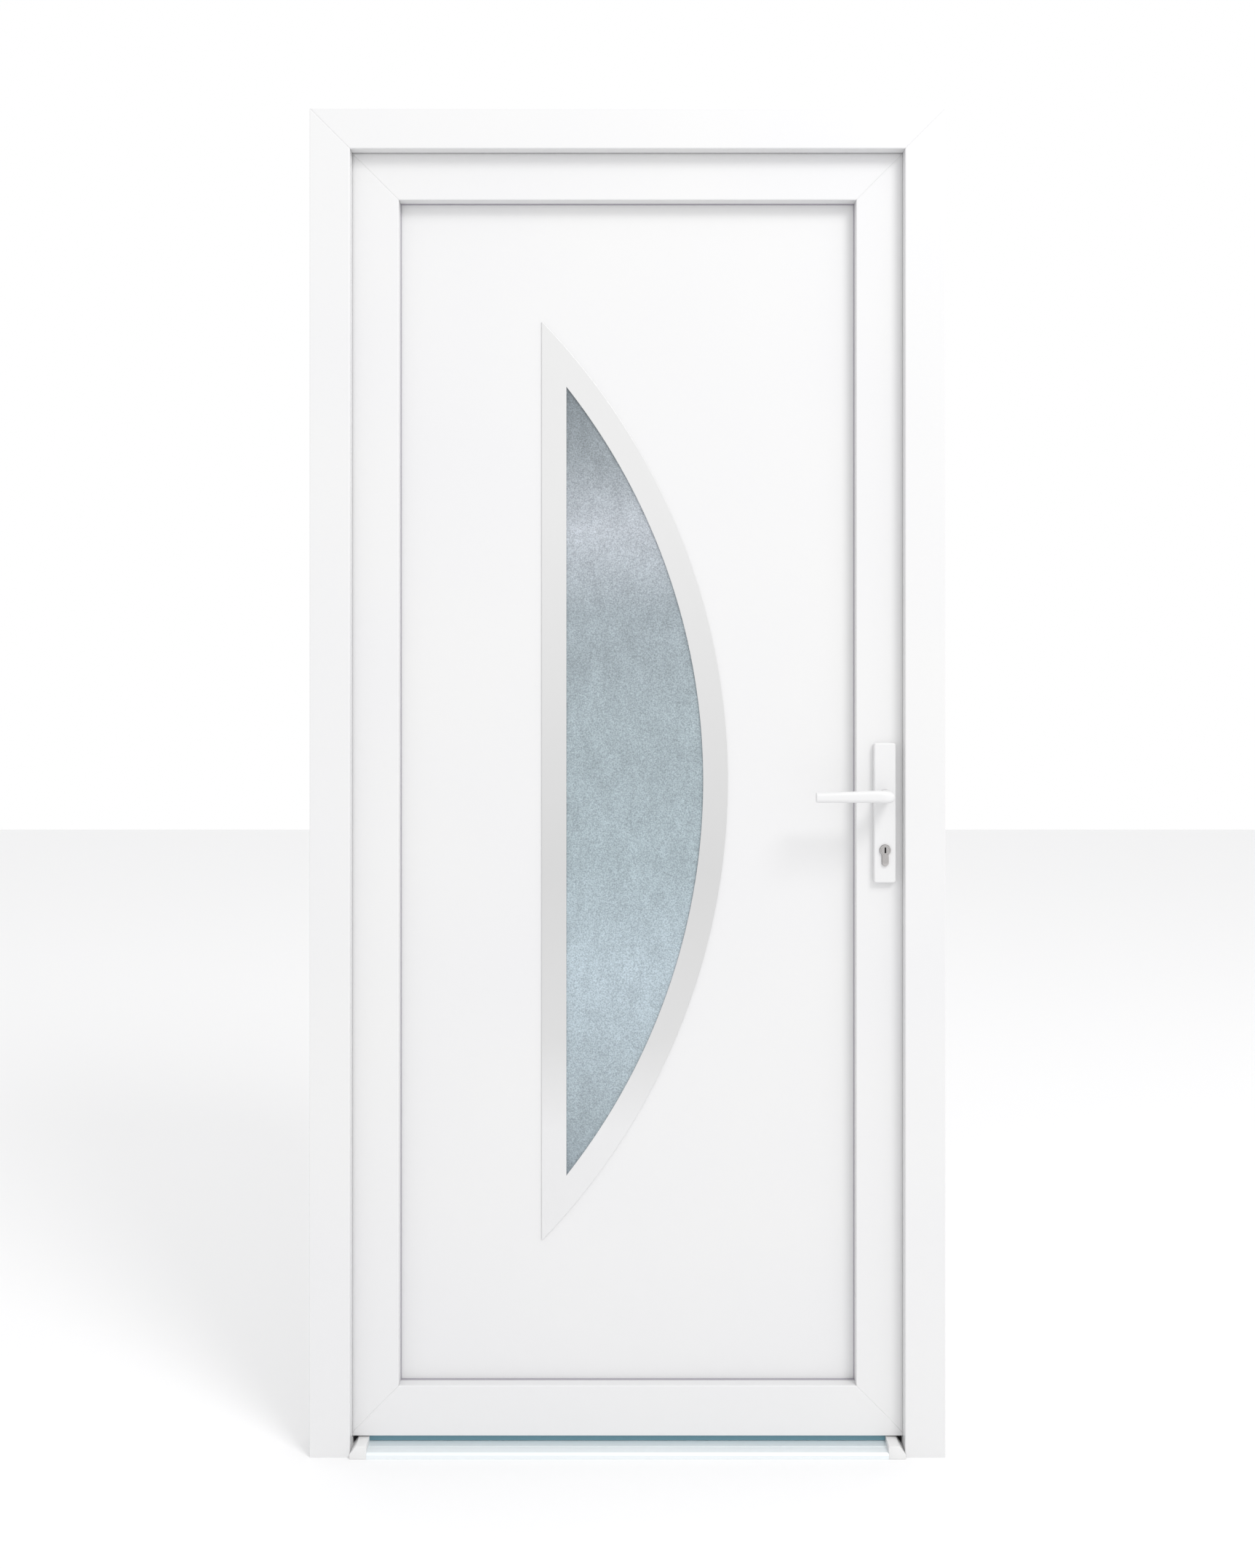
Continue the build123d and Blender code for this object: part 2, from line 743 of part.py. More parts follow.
leaf_steel_u = (chamber_u + steel_clearance, glazing_u - pvc_wall)
leaf_steel_outline = [
    (leaf_steel_u[0], web_out),
    (leaf_steel_u[1], web_out),
    (leaf_steel_u[1], web_in),
    (leaf_steel_u[0], web_in),
    (leaf_steel_u[0], web_in - steel_wall),
    (leaf_steel_u[1] - steel_wall, web_in - steel_wall),
    (leaf_steel_u[1] - steel_wall, web_out + steel_wall),
    (leaf_steel_u[0], web_out + steel_wall),
]
with BuildPart() as leaf_steel:
    for side in side_planes:
        add(square_bar(side, leaf_steel_outline, glazing_u, glazing_u).part)
    hardware_cuts()
save(leaf_steel, "leaf_steel")

leaf_seal = u_ring(
    overlap_u + leaf_seal_start,
    overlap_u + leaf_seal_start + leaf_seal_width,
    (frame_in + clearance, overlap_out),
)
save(leaf_seal, "leaf_seal")

# ---- Infill: foam core between two plastic skins, packed, gasketed and beaded ----
skin_out = (panel_out, panel_out + panel_skin)
skin_in = (panel_in - panel_skin, panel_in)
panel_outer_skin = infill_sheet(skin_out)
save(panel_outer_skin, "panel_outer_skin")
panel_core = infill_sheet((skin_out[1], skin_in[0]))
save(panel_core, "panel_core")
panel_inner_skin = infill_sheet(skin_in)
save(panel_inner_skin, "panel_inner_skin")

infill_seal_outer = u_ring(panel_u, sight_u + gasket_show, (leg_back, panel_out))
save(infill_seal_outer, "infill_seal_outer")
infill_seal_inner = u_ring(panel_u, glazing_u + bead_width - seal_margin, (panel_in, bead_out))
save(infill_seal_inner, "infill_seal_inner")

bead_outline = [
    (glazing_u, bead_out),
    (glazing_u + bead_width, bead_out),
    (glazing_u + bead_width, leaf_in - bead_bevel),
    (glazing_u + bead_width - bead_bevel, leaf_in),
    (glazing_u, leaf_in),
]
with BuildPart() as glazing_beads:
    for side in side_planes:
        add(mitred_bar(side, bead_outline, trim=bead_mitre_gap).part)
save(glazing_beads, "glazing_beads")

packer_x = half_width - panel_u
packer_z = panel_u + datum_bottom
with BuildPart() as panel_packers:
    for x in (-packer_x + packer_length, packer_x - 2 * packer_length):
        block((x, x + packer_length), (panel_out, panel_in), (packer_z - packer_gap, packer_z))
    for z in (packer_z + packer_length, door_height - panel_u - 2 * packer_length):
        for x in (-packer_x - packer_gap, packer_x):
            block((x, x + packer_gap), (panel_out, panel_in), (z, z + packer_length))
save(panel_packers, "panel_packers")

# ---- Half-moon light: two panes on a spacer, clamped between two trims ----
outer_trim = moon_plate(0, (panel_out - trim_thickness, panel_out), trim_width)
save(outer_trim, "outer_trim")
inner_trim = moon_plate(0, (panel_in, panel_in + trim_thickness), trim_width)
save(inner_trim, "inner_trim")
glass_outer_pane = moon_plate(glass_inset, (panel_out, panel_out + pane_thickness))
save(glass_outer_pane, "glass_outer_pane")
glass_inner_pane = moon_plate(glass_inset, (panel_in - pane_thickness, panel_in))
save(glass_inner_pane, "glass_inner_pane")
glass_spacer = moon_plate(
    glass_inset,
    (panel_out + pane_thickness, panel_in - pane_thickness),
    glass_inset + spacer_width,
)
save(glass_spacer, "glass_spacer")

# ---- Hinges: a flag wing on the frame with the pin, and a wing on the leaf that drops over it ----
for name, hinge_z in hinge_heights.items():
    wing_z = (hinge_z - hinge_length / 2, hinge_z + hinge_length / 2)
    lower_half = (wing_z[0], hinge_z - hinge_split / 2)
    upper_half = (hinge_z + hinge_split / 2, wing_z[1])
    with BuildPart() as frame_wing:
        block(frame_wing_x, (frame_in, frame_in + wing_thickness), wing_z)
        block((hinge_x - 2 * wing_thickness, hinge_x), (frame_in, hinge_y), lower_half)
        round_bar(hinge_x, hinge_y, lower_half, knuckle_radius)
        round_bar(hinge_x, hinge_y, lower_half, hinge_pin_radius, Mode.SUBTRACT)
        wood_screws(
            [place for place in frame_wing_screws if wing_z[0] < place[2] < wing_z[1]],
            (0, -1, 0),
            Mode.SUBTRACT,
        )
    save(frame_wing, f"{name}_hinge_frame_wing")
    with BuildPart() as leaf_wing:
        block(leaf_wing_x, (leaf_in, leaf_in + wing_thickness), wing_z)
        block((hinge_x, leaf_wing_x[0]), (leaf_in + 1, leaf_in + wing_thickness + 1), upper_half)
        block(
            (leaf_wing_x[0] - 1, leaf_wing_x[0] + wing_thickness),
            (leaf_in, leaf_in + wing_thickness + 1),
            upper_half,
        )
        round_bar(hinge_x, hinge_y, upper_half, knuckle_radius)
        round_bar(hinge_x, hinge_y, upper_half, hinge_pin_radius + running_fit, Mode.SUBTRACT)
        wood_screws(
            [place for place in leaf_wing_screws if wing_z[0] < place[2] < wing_z[1]],
            (0, -1, 0),
            Mode.SUBTRACT,
        )
    save(leaf_wing, f"{name}_hinge_leaf_wing")

with BuildPart() as hinge_pins:
    for hinge_z in hinge_heights.values():
        pin_z = (hinge_z - hinge_length / 2, hinge_z + hinge_length / 2 - pin_short)
        round_bar(hinge_x, hinge_y, pin_z, hinge_pin_radius)
save(hinge_pins, "hinge_pins")

# ---- Keeps on the lock jamb, each a plate with a window, and all the frame's screws ----
keep_y = (lock_y - keep_width / 2, lock_y + keep_width / 2)
keep_x = (keep_face_x, rebate_x)
window_y = (mechanism_y[0] - 1, mechanism_y[1] + 2 * clearance)
with BuildPart() as centre_keep:
    block(keep_x, keep_y, centre_keep_z)
    lip_z = (latch_low - keep_lip_margin, latch_low + latch_height + keep_lip_margin)
    block((keep_face_x - keep_lip, keep_face_x), (window_y[1], keep_y[1]), lip_z)
    lip_edge = centre_keep.edges().filter_by(Axis.Z).sort_by_distance(
        (keep_face_x - keep_lip, keep_y[1], latch_z)
    )[0]
    chamfer(lip_edge, keep_lip - 1)
    for low, high in [
        (latch_low - 1, latch_low + latch_height + 1),
        (deadbolt_z - deadbolt_height / 2 - 1, deadbolt_z + deadbolt_height / 2 + 1),
    ]:
        block(keep_x, window_y, (low, high), Mode.SUBTRACT)
    wood_screws(keep_screws[:2], (1, 0, 0), Mode.SUBTRACT)
save(centre_keep, "centre_keep")

with BuildPart() as hook_keeps:
    for name, (hook_z, up) in hook_heights.items():
        block(keep_x, keep_y, hook_keep_z[name])
        window = sorted((hook_z - up * (hook_half_width + 1.5), hook_z + up * (hook_sweep - 8)))
        block(keep_x, window_y, window, Mode.SUBTRACT)
    wood_screws(keep_screws[2:], (1, 0, 0), Mode.SUBTRACT)
save(hook_keeps, "hook_keeps")

with BuildPart() as frame_screws:
    wood_screws(keep_screws, (1, 0, 0))
    wood_screws(frame_wing_screws, (0, -1, 0))
save(frame_screws, "frame_screws")

# ---- Lock faceplate, lock case and hook cases ----
latch_window_z = (latch_low - clearance, latch_low + latch_height + clearance)
bolt_window_z = (
    deadbolt_z - deadbolt_height / 2 - clearance,
    deadbolt_z + deadbolt_height / 2 + clearance,
)
bolt_window_y = (mechanism_y[0] - clearance, mechanism_y[1] + clearance)
faceplate_x = (faceplate_back_x, edge_x)
hook_y = (lock_y - hook_thickness / 2, lock_y + hook_thickness / 2)
with BuildPart() as lock_faceplate:
    block(faceplate_x, groove_y, (faceplate_low, faceplate_high))
    for window in (latch_window_z, bolt_window_z):
        block(faceplate_x, bolt_window_y, window, Mode.SUBTRACT)
    for hook_z, up in hook_heights.values():
        slot = sorted((hook_z - up * (hook_half_width + 2), hook_z + up * (hook_sweep - 1)))
        block(faceplate_x, (hook_y[0] - 0.5, hook_y[1] + 0.5), slot, Mode.SUBTRACT)
    wood_screws(faceplate_screws, (-1, 0, 0), Mode.SUBTRACT)
    round_bar(faceplate_x, lock_y, cylinder_screw_z, bolt_radius, Mode.SUBTRACT)
save(lock_faceplate, "lock_faceplate")

rod_x = (faceplate_back_x - clearance - rod_thickness, faceplate_back_x - clearance)
rod_slot_x = (rod_x[0] - clearance, faceplate_back_x)
inside_y = (case_y[0] + case_sheet, case_y[1] - case_sheet)
with BuildPart() as lock_case:
    block((spindle_x - case_back, faceplate_back_x), case_y, case_z)
    block(
        (spindle_x - case_back + case_sheet, faceplate_back_x),
        inside_y,
        (case_z[0] + case_sheet, case_z[1] - case_sheet),
        Mode.SUBTRACT,
    )
    block(rod_slot_x, inside_y, case_z, Mode.SUBTRACT)
    cut_cylinder(case_y, clearance)
    round_bar(spindle_x, case_y, handle_z, follower_radius + running_fit, Mode.SUBTRACT)
    for z in handle_bolt_z:
        round_bar(spindle_x, case_y, z, bolt_radius, Mode.SUBTRACT)
save(lock_case, "lock_case")

hook_case_x = (hook_x - hook_half_width - 5 - case_sheet, faceplate_back_x)
with BuildPart() as hook_cases:
    for name, (hook_z, up) in hook_heights.items():
        low, high = hook_case_z[name]
        block(hook_case_x, case_y, (low, high))
        block(
            (hook_case_x[0] + case_sheet, faceplate_back_x),
            inside_y,
            (low + case_sheet, high - case_sheet),
            Mode.SUBTRACT,
        )
        foot = sorted((hook_z - up * 2 * rod_travel, hook_z - up * rod_travel))
        block(rod_slot_x, inside_y, foot, Mode.SUBTRACT)
        round_bar(hook_x, inside_y, hook_z, hook_pin_radius)
save(hook_cases, "hook_cases")

# ---- Lock cylinder, its cam and the two plugs ----
cylinder_y = (plate_out - cylinder_proud, plate_in + cylinder_proud)
cam_y = (lock_y - cam_width / 2, lock_y + cam_width / 2)
cam_gap_y = (cam_y[0] - clearance, cam_y[1] + clearance)
with BuildPart() as cylinder_body:
    extrude(facing(cylinder_y[1]) * cylinder_outline(), amount=cylinder_y[1] - cylinder_y[0])
    gap_x = (spindle_x - cam_reach, spindle_x + cam_reach)
    gap_z = (cylinder_z - cam_reach - 1, cylinder_z + cam_reach)
    block(gap_x, cam_gap_y, gap_z, Mode.SUBTRACT)
    round_bar(spindle_x, cylinder_y, cylinder_z, plug_radius, Mode.SUBTRACT)
    round_bar((spindle_x, edge_x), lock_y, cylinder_screw_z, bolt_radius, Mode.SUBTRACT)
save(cylinder_body, "cylinder_body")

keyway_z = (cylinder_z - keyway_height / 2, cylinder_z + keyway_height / 2)
keyway_x = (spindle_x - keyway_width / 2, spindle_x + keyway_width / 2)
turning_radius = plug_radius - running_fit
with BuildPart() as outer_plug:
    round_bar(spindle_x, (cylinder_y[0], cam_y[1]), cylinder_z, turning_radius)
    keyway_y = (cylinder_y[0], cylinder_y[0] + keyway_depth)
    block(keyway_x, keyway_y, keyway_z, Mode.SUBTRACT)
save(outer_plug, "outer_plug")

with BuildPart() as inner_plug:
    round_bar(spindle_x, (cam_gap_y[1], cylinder_y[1]), cylinder_z, turning_radius)
    keyway_y = (cylinder_y[1] - keyway_depth, cylinder_y[1])
    block(keyway_x, keyway_y, keyway_z, Mode.SUBTRACT)
save(inner_plug, "inner_plug")

with BuildPart() as cylinder_cam:
    with BuildSketch(facing(cam_y[1])):
        with Locations((spindle_x, cylinder_z)):
            Circle(cylinder_head_radius)
        with Locations((spindle_x, cylinder_z - (cam_reach - 1) / 2)):
            Rectangle(cylinder_head_radius, cam_reach - 1)
        with Locations((spindle_x, cylinder_z)):
            Circle(turning_radius, mode=Mode.SUBTRACT)
    extrude(amount=cam_width)
save(cylinder_cam, "cylinder_cam")

# ---- Handle: two plates, two levers on a square spindle, two bolts ----
plate_z = (handle_z - plate_bottom, handle_z + plate_top)


def back_plate(near_y, far_y):
    """Long cover plate between the leaf face and its own rounded outer face."""
    outwards = 1 if far_y > near_y else -1
    with BuildPart() as plate:
        with BuildSketch(Plane(origin=(0, near_y, 0), x_dir=(1, 0, 0), z_dir=(0, outwards, 0))):
            with Locations((spindle_x, -outwards * (plate_z[0] + plate_z[1]) / 2)):
                RectangleRounded(plate_width, plate_z[1] - plate_z[0], plate_corner)
        extrude(amount=plate_thickness)
        face = plate.faces().sort_by(Axis.Y)[-1 if outwards > 0 else 0]
        fillet(face.edges(), plate_edge)
        span = sorted((near_y, far_y))
        cut_cylinder(span, clearance)
        round_bar(spindle_x, span, handle_z, neck_radius + running_fit, Mode.SUBTRACT)
    return plate


def handle_bolt_set(mode=Mode.ADD):
    """Two bolts driven from the room side through the inner plate into the outer one."""
    for z in handle_bolt_z:
        place = (spindle_x, plate_in, z)
        radii = (bolt_radius, bolt_head_radius)
        screw(place, (0, -1, 0), bolt_span, radii, bolt_head_height, mode)


with BuildPart() as outer_backplate:
    add(back_plate(leaf_out, plate_out).part)
    handle_bolt_set(Mode.SUBTRACT)
save(outer_backplate, "outer_backplate")

with BuildPart() as inner_backplate:
    add(back_plate(leaf_in, plate_in).part)
    handle_bolt_set(Mode.SUBTRACT)
save(inner_backplate, "inner_backplate")

with BuildPart() as handle_bolts:
    handle_bolt_set()
save(handle_bolts, "handle_bolts")

spindle_y = (plate_out - lever_stand_off + 9, plate_in + lever_stand_off - 9)


def cut_spindle(y, side):
    """Cut the square hole of the spindle through the current part."""
    half = side / 2
    z = (handle_z - half, handle_z + half)
    block((spindle_x - half, spindle_x + half), y, z, Mode.SUBTRACT)


def lever(root_y, plate_y):
    """Lever handle: a round neck through the plate and an arm that thins to its tip."""
    outwards = 1 if plate_y > root_y else -1
    arm_y = plate_y + outwards * lever_stand_off
    arm_low = handle_z - lever_neck_height / 2
    stations = [
        (spindle_x + lever_heel, lever_neck_height - 1),
        (spindle_x - lever_heel, lever_neck_height - 1),
        (spindle_x - lever_length / 2, (lever_neck_height + lever_tip_height) / 2 - 1),
        (spindle_x - lever_length, lever_tip_height),
    ]
    with BuildPart() as handle:
        for x, height in stations:
            with BuildSketch(Plane.YZ.offset(x)):
                with Locations((arm_y, arm_low + height / 2)):
                    RectangleRounded(lever_arm_depth, height, lever_arm_depth / 3)
        loft(ruled=True)
        round_bar(spindle_x, sorted((root_y, arm_y)), handle_z, neck_radius)
        cut_spindle(sorted((root_y, arm_y - outwards * 9)), spindle_side)
    return handle


outer_lever = lever(leaf_out, plate_out)
save(outer_lever, "outer_lever")
inner_lever = lever(leaf_in, plate_in)
save(inner_lever, "inner_lever")

with BuildPart() as spindle:
    half_side = spindle_side / 2
    block(
        (spindle_x - half_side, spindle_x + half_side),
        spindle_y,
        (handle_z - half_side, handle_z + half_side),
    )
save(spindle, "spindle")

# ---- Moving pieces inside the lock ----
with BuildPart() as lock_follower:
    round_bar(spindle_x, case_y, handle_z, follower_radius)
    with BuildSketch(facing(mechanism_y[1] - 1)):
        with Locations((spindle_x, handle_z + follower_arm / 2)):
            Rectangle(2 * follower_nose, follower_arm)
        with Locations((spindle_x, handle_z + follower_arm)):
            Circle(follower_nose)
    extrude(amount=mechanism_width - 2)
    cut_spindle(case_y, spindle_side + 2 * running_fit)
save(lock_follower, "lock_follower")

leg_x = spindle_x - follower_nose - clearance
latch_tip_x = edge_x + latch_throw
with BuildPart() as latch_bolt:
    block((leg_x - latch_leg, latch_tip_x), mechanism_y, (latch_low, latch_low + latch_height))
    nose_edge = latch_bolt.edges().filter_by(Axis.Z).sort_by_distance(
        (latch_tip_x, mechanism_y[0], latch_z)
    )[0]
    chamfer(nose_edge, latch_throw - 0.5)
    leg_low = handle_z + follower_radius + clearance
    block((leg_x - latch_leg, leg_x), mechanism_y, (leg_low, latch_low))
save(latch_bolt, "latch_bolt")

deadbolt_tip_x = edge_x - 1
with BuildPart() as deadbolt:
    half_bolt = deadbolt_height / 2
    block(
        (deadbolt_tip_x - deadbolt_length, deadbolt_tip_x),
        mechanism_y,
        (deadbolt_z - half_bolt, deadbolt_z + half_bolt),
    )
save(deadbolt, "deadbolt")

for name, (hook_z, up) in hook_heights.items():
    with BuildPart() as hook:
        with BuildSketch(facing(hook_y[1])):
            with Locations((hook_x, hook_z)):
                Circle(hook_half_width)
            with Locations((hook_x, hook_z + up * hook_reach / 2)):
                Rectangle(2 * hook_half_width, hook_reach)
            claw_x = hook_x + hook_half_width + hook_claw / 2
            with Locations((claw_x, hook_z + up * (hook_reach - hook_claw_width / 2))):
                Rectangle(hook_claw, hook_claw_width)
            with Locations((hook_x, hook_z)):
                Circle(hook_pin_radius + running_fit, mode=Mode.SUBTRACT)
        extrude(amount=hook_thickness)
    save(hook, f"{name}_hook")

rod_slot_y = (lock_y - screw_radius - rod_slot_gap, lock_y + screw_radius + rod_slot_gap)
rod_ends = {
    "upper": (
        case_z[1] - 2 * rod_travel + rod_near_overlap["upper"],
        upper_hook_z - rod_travel - rod_end_gap,
    ),
    "lower": (
        case_z[0] + 2 * rod_travel - rod_near_overlap["lower"],
        lower_hook_z + rod_travel + rod_end_gap,
    ),
}
for name, (near_z, far_z) in rod_ends.items():
    up = 1 if far_z > near_z else -1
    with BuildPart() as drive_rod:
        block(rod_x, mechanism_y, sorted((near_z, far_z)))
        for z in rod_screw_z[name]:
            slot = sorted((z + up * 4, z - up * (rod_travel + 4)))
            block(rod_x, rod_slot_y, slot, Mode.SUBTRACT)
    save(drive_rod, f"{name}_drive_rod")

with BuildPart() as leaf_screws:
    wood_screws(faceplate_screws, (-1, 0, 0))
    wood_screws(leaf_wing_screws, (0, -1, 0))
    round_bar((spindle_x, edge_x), lock_y, cylinder_screw_z, bolt_radius)
save(leaf_screws, "leaf_screws")
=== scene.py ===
import math

import bmesh
import bpy
import numpy as np
from mathutils import Matrix, Vector


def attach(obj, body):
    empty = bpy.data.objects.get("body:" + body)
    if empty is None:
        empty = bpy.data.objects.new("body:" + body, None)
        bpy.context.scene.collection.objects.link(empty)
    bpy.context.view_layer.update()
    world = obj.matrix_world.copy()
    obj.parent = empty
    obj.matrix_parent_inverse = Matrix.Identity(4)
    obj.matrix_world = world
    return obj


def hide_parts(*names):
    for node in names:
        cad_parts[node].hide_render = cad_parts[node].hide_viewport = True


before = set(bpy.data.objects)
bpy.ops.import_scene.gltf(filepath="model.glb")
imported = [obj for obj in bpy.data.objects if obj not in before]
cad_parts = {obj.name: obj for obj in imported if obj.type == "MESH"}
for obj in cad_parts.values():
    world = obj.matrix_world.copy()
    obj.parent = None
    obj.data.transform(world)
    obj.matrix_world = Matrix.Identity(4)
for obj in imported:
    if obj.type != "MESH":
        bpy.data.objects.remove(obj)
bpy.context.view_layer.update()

# ---- Frame head and jambs ----
# White PVC-U profiles, 70 mm deep, with a soft-edged stop on the outside, mitred and welded
# at the two top corners. The jambs are cut square at the floor and drilled for the wall
# screws; the lock jamb also has pockets behind its keeps.
DOOR = {"half": 490.0, "top": 2080.0, "datum": -34.0}  # mm; datum is the leaf's foot mitre level
MM = 0.001  # metres
CREASE = math.radians(32)  # edges above this angle stay sharp


def rounded_loop(corners, smallest=0.25):
    """Closed section as an (N, 2) array. Corners are (a, b, radius) and each one becomes the
    arc centre + radius * (cos t, sin t) between its two tangent points, with one more point
    0.4 mm past each tangent so that the flat faces stay flat."""
    lead, most_back, most_lead = 0.4, 0.48, 0.49  # mm, then shares of the shorter edge
    points = np.array([c[:2] for c in corners], float)
    before, after = np.roll(points, 1, axis=0), np.roll(points, -1, axis=0)
    out = []
    for corner, p, q, (_, _, radius) in zip(points, before, after, corners):
        radius = max(radius, smallest)
        a, b = p - corner, q - corner
        la, lb = np.linalg.norm(a), np.linalg.norm(b)
        a, b = a / la, b / lb
        half = math.acos(np.clip(a @ b, -1, 1)) / 2
        back = min(radius / math.tan(half), most_back * la, most_back * lb)
        radius = back * math.tan(half)
        middle = corner + (a + b) / np.linalg.norm(a + b) * (radius / math.sin(half))
        steps = 9 if radius > 2 else 5
        start, stop = corner + a * back - middle, corner + b * back - middle
        turn = math.atan2(start[0] * stop[1] - start[1] * stop[0], start @ stop)
        angles = np.linspace(0, turn, steps)[:, None]
        across = np.array([-start[1], start[0]])
        arc = middle + np.cos(angles) * start + np.sin(angles) * across
        lead_a, lead_b = min(back + lead, most_lead * la), min(back + lead, most_lead * lb)
        out.append(np.vstack([corner + a * lead_a, arc, corner + b * lead_b]))
    return np.vstack(out)


def loop_normals(loop):
    """Unit normals of a closed (N, 2) section: the chord between neighbours turned by 90
    degrees, pointing away from the area it encloses."""
    chord = np.roll(loop, -1, axis=0) - np.roll(loop, 1, axis=0)
    normal = np.stack([chord[:, 1], -chord[:, 0]], axis=1)
    x, y = loop.T
    area = np.sum(x * np.roll(y, -1) - y * np.roll(x, -1))
    return normal / np.linalg.norm(normal, axis=1)[:, None] * np.sign(area)


def skin(name, grid, ring=False):
    """Closed surface over an (R, N, 3) grid in mm: quads between rows i and i+1 and columns
    j and j+1, the last column joined to the first. The ends are capped, or joined if ring.
    UV is the length round the section and the length along the rows, in metres."""
    rows, columns = grid.shape[:2]
    index = np.arange(rows * columns).reshape(rows, columns)
    right = np.roll(index, -1, axis=1)
    if ring:
        upper, upper_right = np.roll(index, -1, axis=0), np.roll(right, -1, axis=0)
        quads = np.stack([index, right, upper_right, upper], axis=-1).reshape(-1, 4)
        caps = []
    else:
        quads = np.stack([index[:-1], right[:-1], right[1:], index[1:]], axis=-1).reshape(-1, 4)
        caps = [index[0][::-1].tolist(), index[-1].tolist()]
    mesh = bpy.data.meshes.new(name)
    mesh.from_pydata((grid.reshape(-1, 3) * MM).tolist(), [], quads.tolist() + caps)
    round_step = np.linalg.norm(np.roll(grid, -1, axis=1) - grid, axis=2)
    round_at = np.cumsum(round_step, axis=1) - round_step
    along_step = np.linalg.norm(np.diff(grid, axis=0), axis=2)
    along_at = np.vstack([np.zeros((1, columns)), np.cumsum(along_step, axis=0)])
    flat = np.stack([round_at, along_at], axis=-1).reshape(-1, 2) * MM
    corner_vertex = np.empty(len(mesh.loops), np.int32)
    mesh.loops.foreach_get("vertex_index", corner_vertex)
    layer = mesh.uv_layers.new(name="length")
    layer.data.foreach_set("uv", flat[corner_vertex].ravel())
    return settle(name, mesh)


def settle(name, mesh):
    """Object for a finished mesh, with outward normals and its creases kept."""
    edit = bmesh.new()
    edit.from_mesh(mesh)
    bmesh.ops.recalc_face_normals(edit, faces=edit.faces)
    edit.to_mesh(mesh)
    edit.free()
    mesh.shade_smooth()
    mesh.set_sharp_from_angle(angle=CREASE)
    obj = bpy.data.objects.new(name, mesh)
    bpy.context.scene.collection.objects.link(obj)
    return obj


def place_on_side(side, u, y, along):
    """Points in mm for distances u in from the door's edge, depth y and a share from 0 to 1
    along that side, between its mitres: X = -490 + u + along * (980 - 2u) on a level side."""
    half, top, datum = DOOR["half"], DOOR["top"], DOOR["datum"]
    if side in ("top", "bottom"):
        x = -half + u + along * (2 * half - 2 * u)
        z = top - u if side == "top" else datum + u
        return np.stack(np.broadcast_arrays(x, y, z), axis=-1)
    sign = -1 if side == "hinge" else 1
    z = datum + u + along * (top - datum - 2 * u)
    return np.stack(np.broadcast_arrays(sign * (half - u), y, z), axis=-1)


def profile_bar(name, side, loop, floor=None, weld=(0.45, 0.9), lowest=None):
    """Mitred bar of section loop. The rows next to a welded mitre sink by weld[0] over
    weld[1] mm along the surface normal, which leaves the fine groove of a dressed weld. With
    a floor the bottom end is square at that height."""
    length = DOOR["top"] - DOOR["datum"] if side in ("hinge", "lock") else 2 * DOOR["half"]
    clear = 4.0  # from each end to the first even row
    near = np.array([0, weld[1] / 2, weld[1], clear])
    middle = np.linspace(clear, length - clear, 24)[1:-1]
    distance = np.concatenate([near, middle, length - near[::-1]])
    sink = np.interp(np.minimum(distance, length - distance), near[:3], [weld[0], weld[0] / 4, 0])
    if floor is not None:
        sink[distance < length / 2] = 0
    normals = loop_normals(loop)
    section = loop[None] - normals[None] * sink[:, None, None]
    grid = place_on_side(side, section[..., 0], section[..., 1], (distance / length)[:, None])
    if floor is not None:
        high = grid[-1, :, 2][None]
        share = ((distance - distance[0]) / length)[:, None]
        grid[..., 2] = floor + (high - floor) * share
    if lowest is not None:
        grid[..., 2] = np.maximum(grid[..., 2], lowest)
    return skin(name, grid)


def cut_away(obj, cutters):
    """Subtracts box and bar shapes from obj. A box is (low corner, high corner), a bar is
    (start, end, radius), all in mm."""
    edit = bmesh.new()
    for cutter in cutters:
        if len(cutter) == 2:
            low, high = Vector(cutter[0]) * MM, Vector(cutter[1]) * MM
            place = Matrix.Translation((low + high) / 2) @ Matrix.Diagonal((*(high - low), 1))
            bmesh.ops.create_cube(edit, size=1.0, matrix=place)
        else:
            start, end = Vector(cutter[0]), Vector(cutter[1])
            turn = (end - start).to_track_quat("Z", "Y").to_matrix().to_4x4()
            turn.translation = (start + end) / 2 * MM
            bmesh.ops.create_cone(
                edit, cap_ends=True, segments=48, radius1=cutter[2] * MM,
                radius2=cutter[2] * MM, depth=(end - start).length * MM, matrix=turn,
            )
    bmesh.ops.recalc_face_normals(edit, faces=edit.faces)
    mesh = bpy.data.meshes.new("cutter")
    edit.to_mesh(mesh)
    edit.free()
    tool = bpy.data.objects.new("cutter", mesh)
    bpy.context.scene.collection.objects.link(tool)
    cut = obj.modifiers.new("cut", "BOOLEAN")
    cut.operation, cut.solver, cut.object = "DIFFERENCE", "EXACT", tool
    cut.use_self = True
    bpy.context.view_layer.update()
    whole = obj.evaluated_get(bpy.context.evaluated_depsgraph_get())
    obj.modifiers.clear()
    result = bpy.data.meshes.new_from_object(whole)
    obj.data = result
    bpy.data.objects.remove(tool)
    result.shade_smooth()
    result.set_sharp_from_angle(angle=CREASE)
    return obj


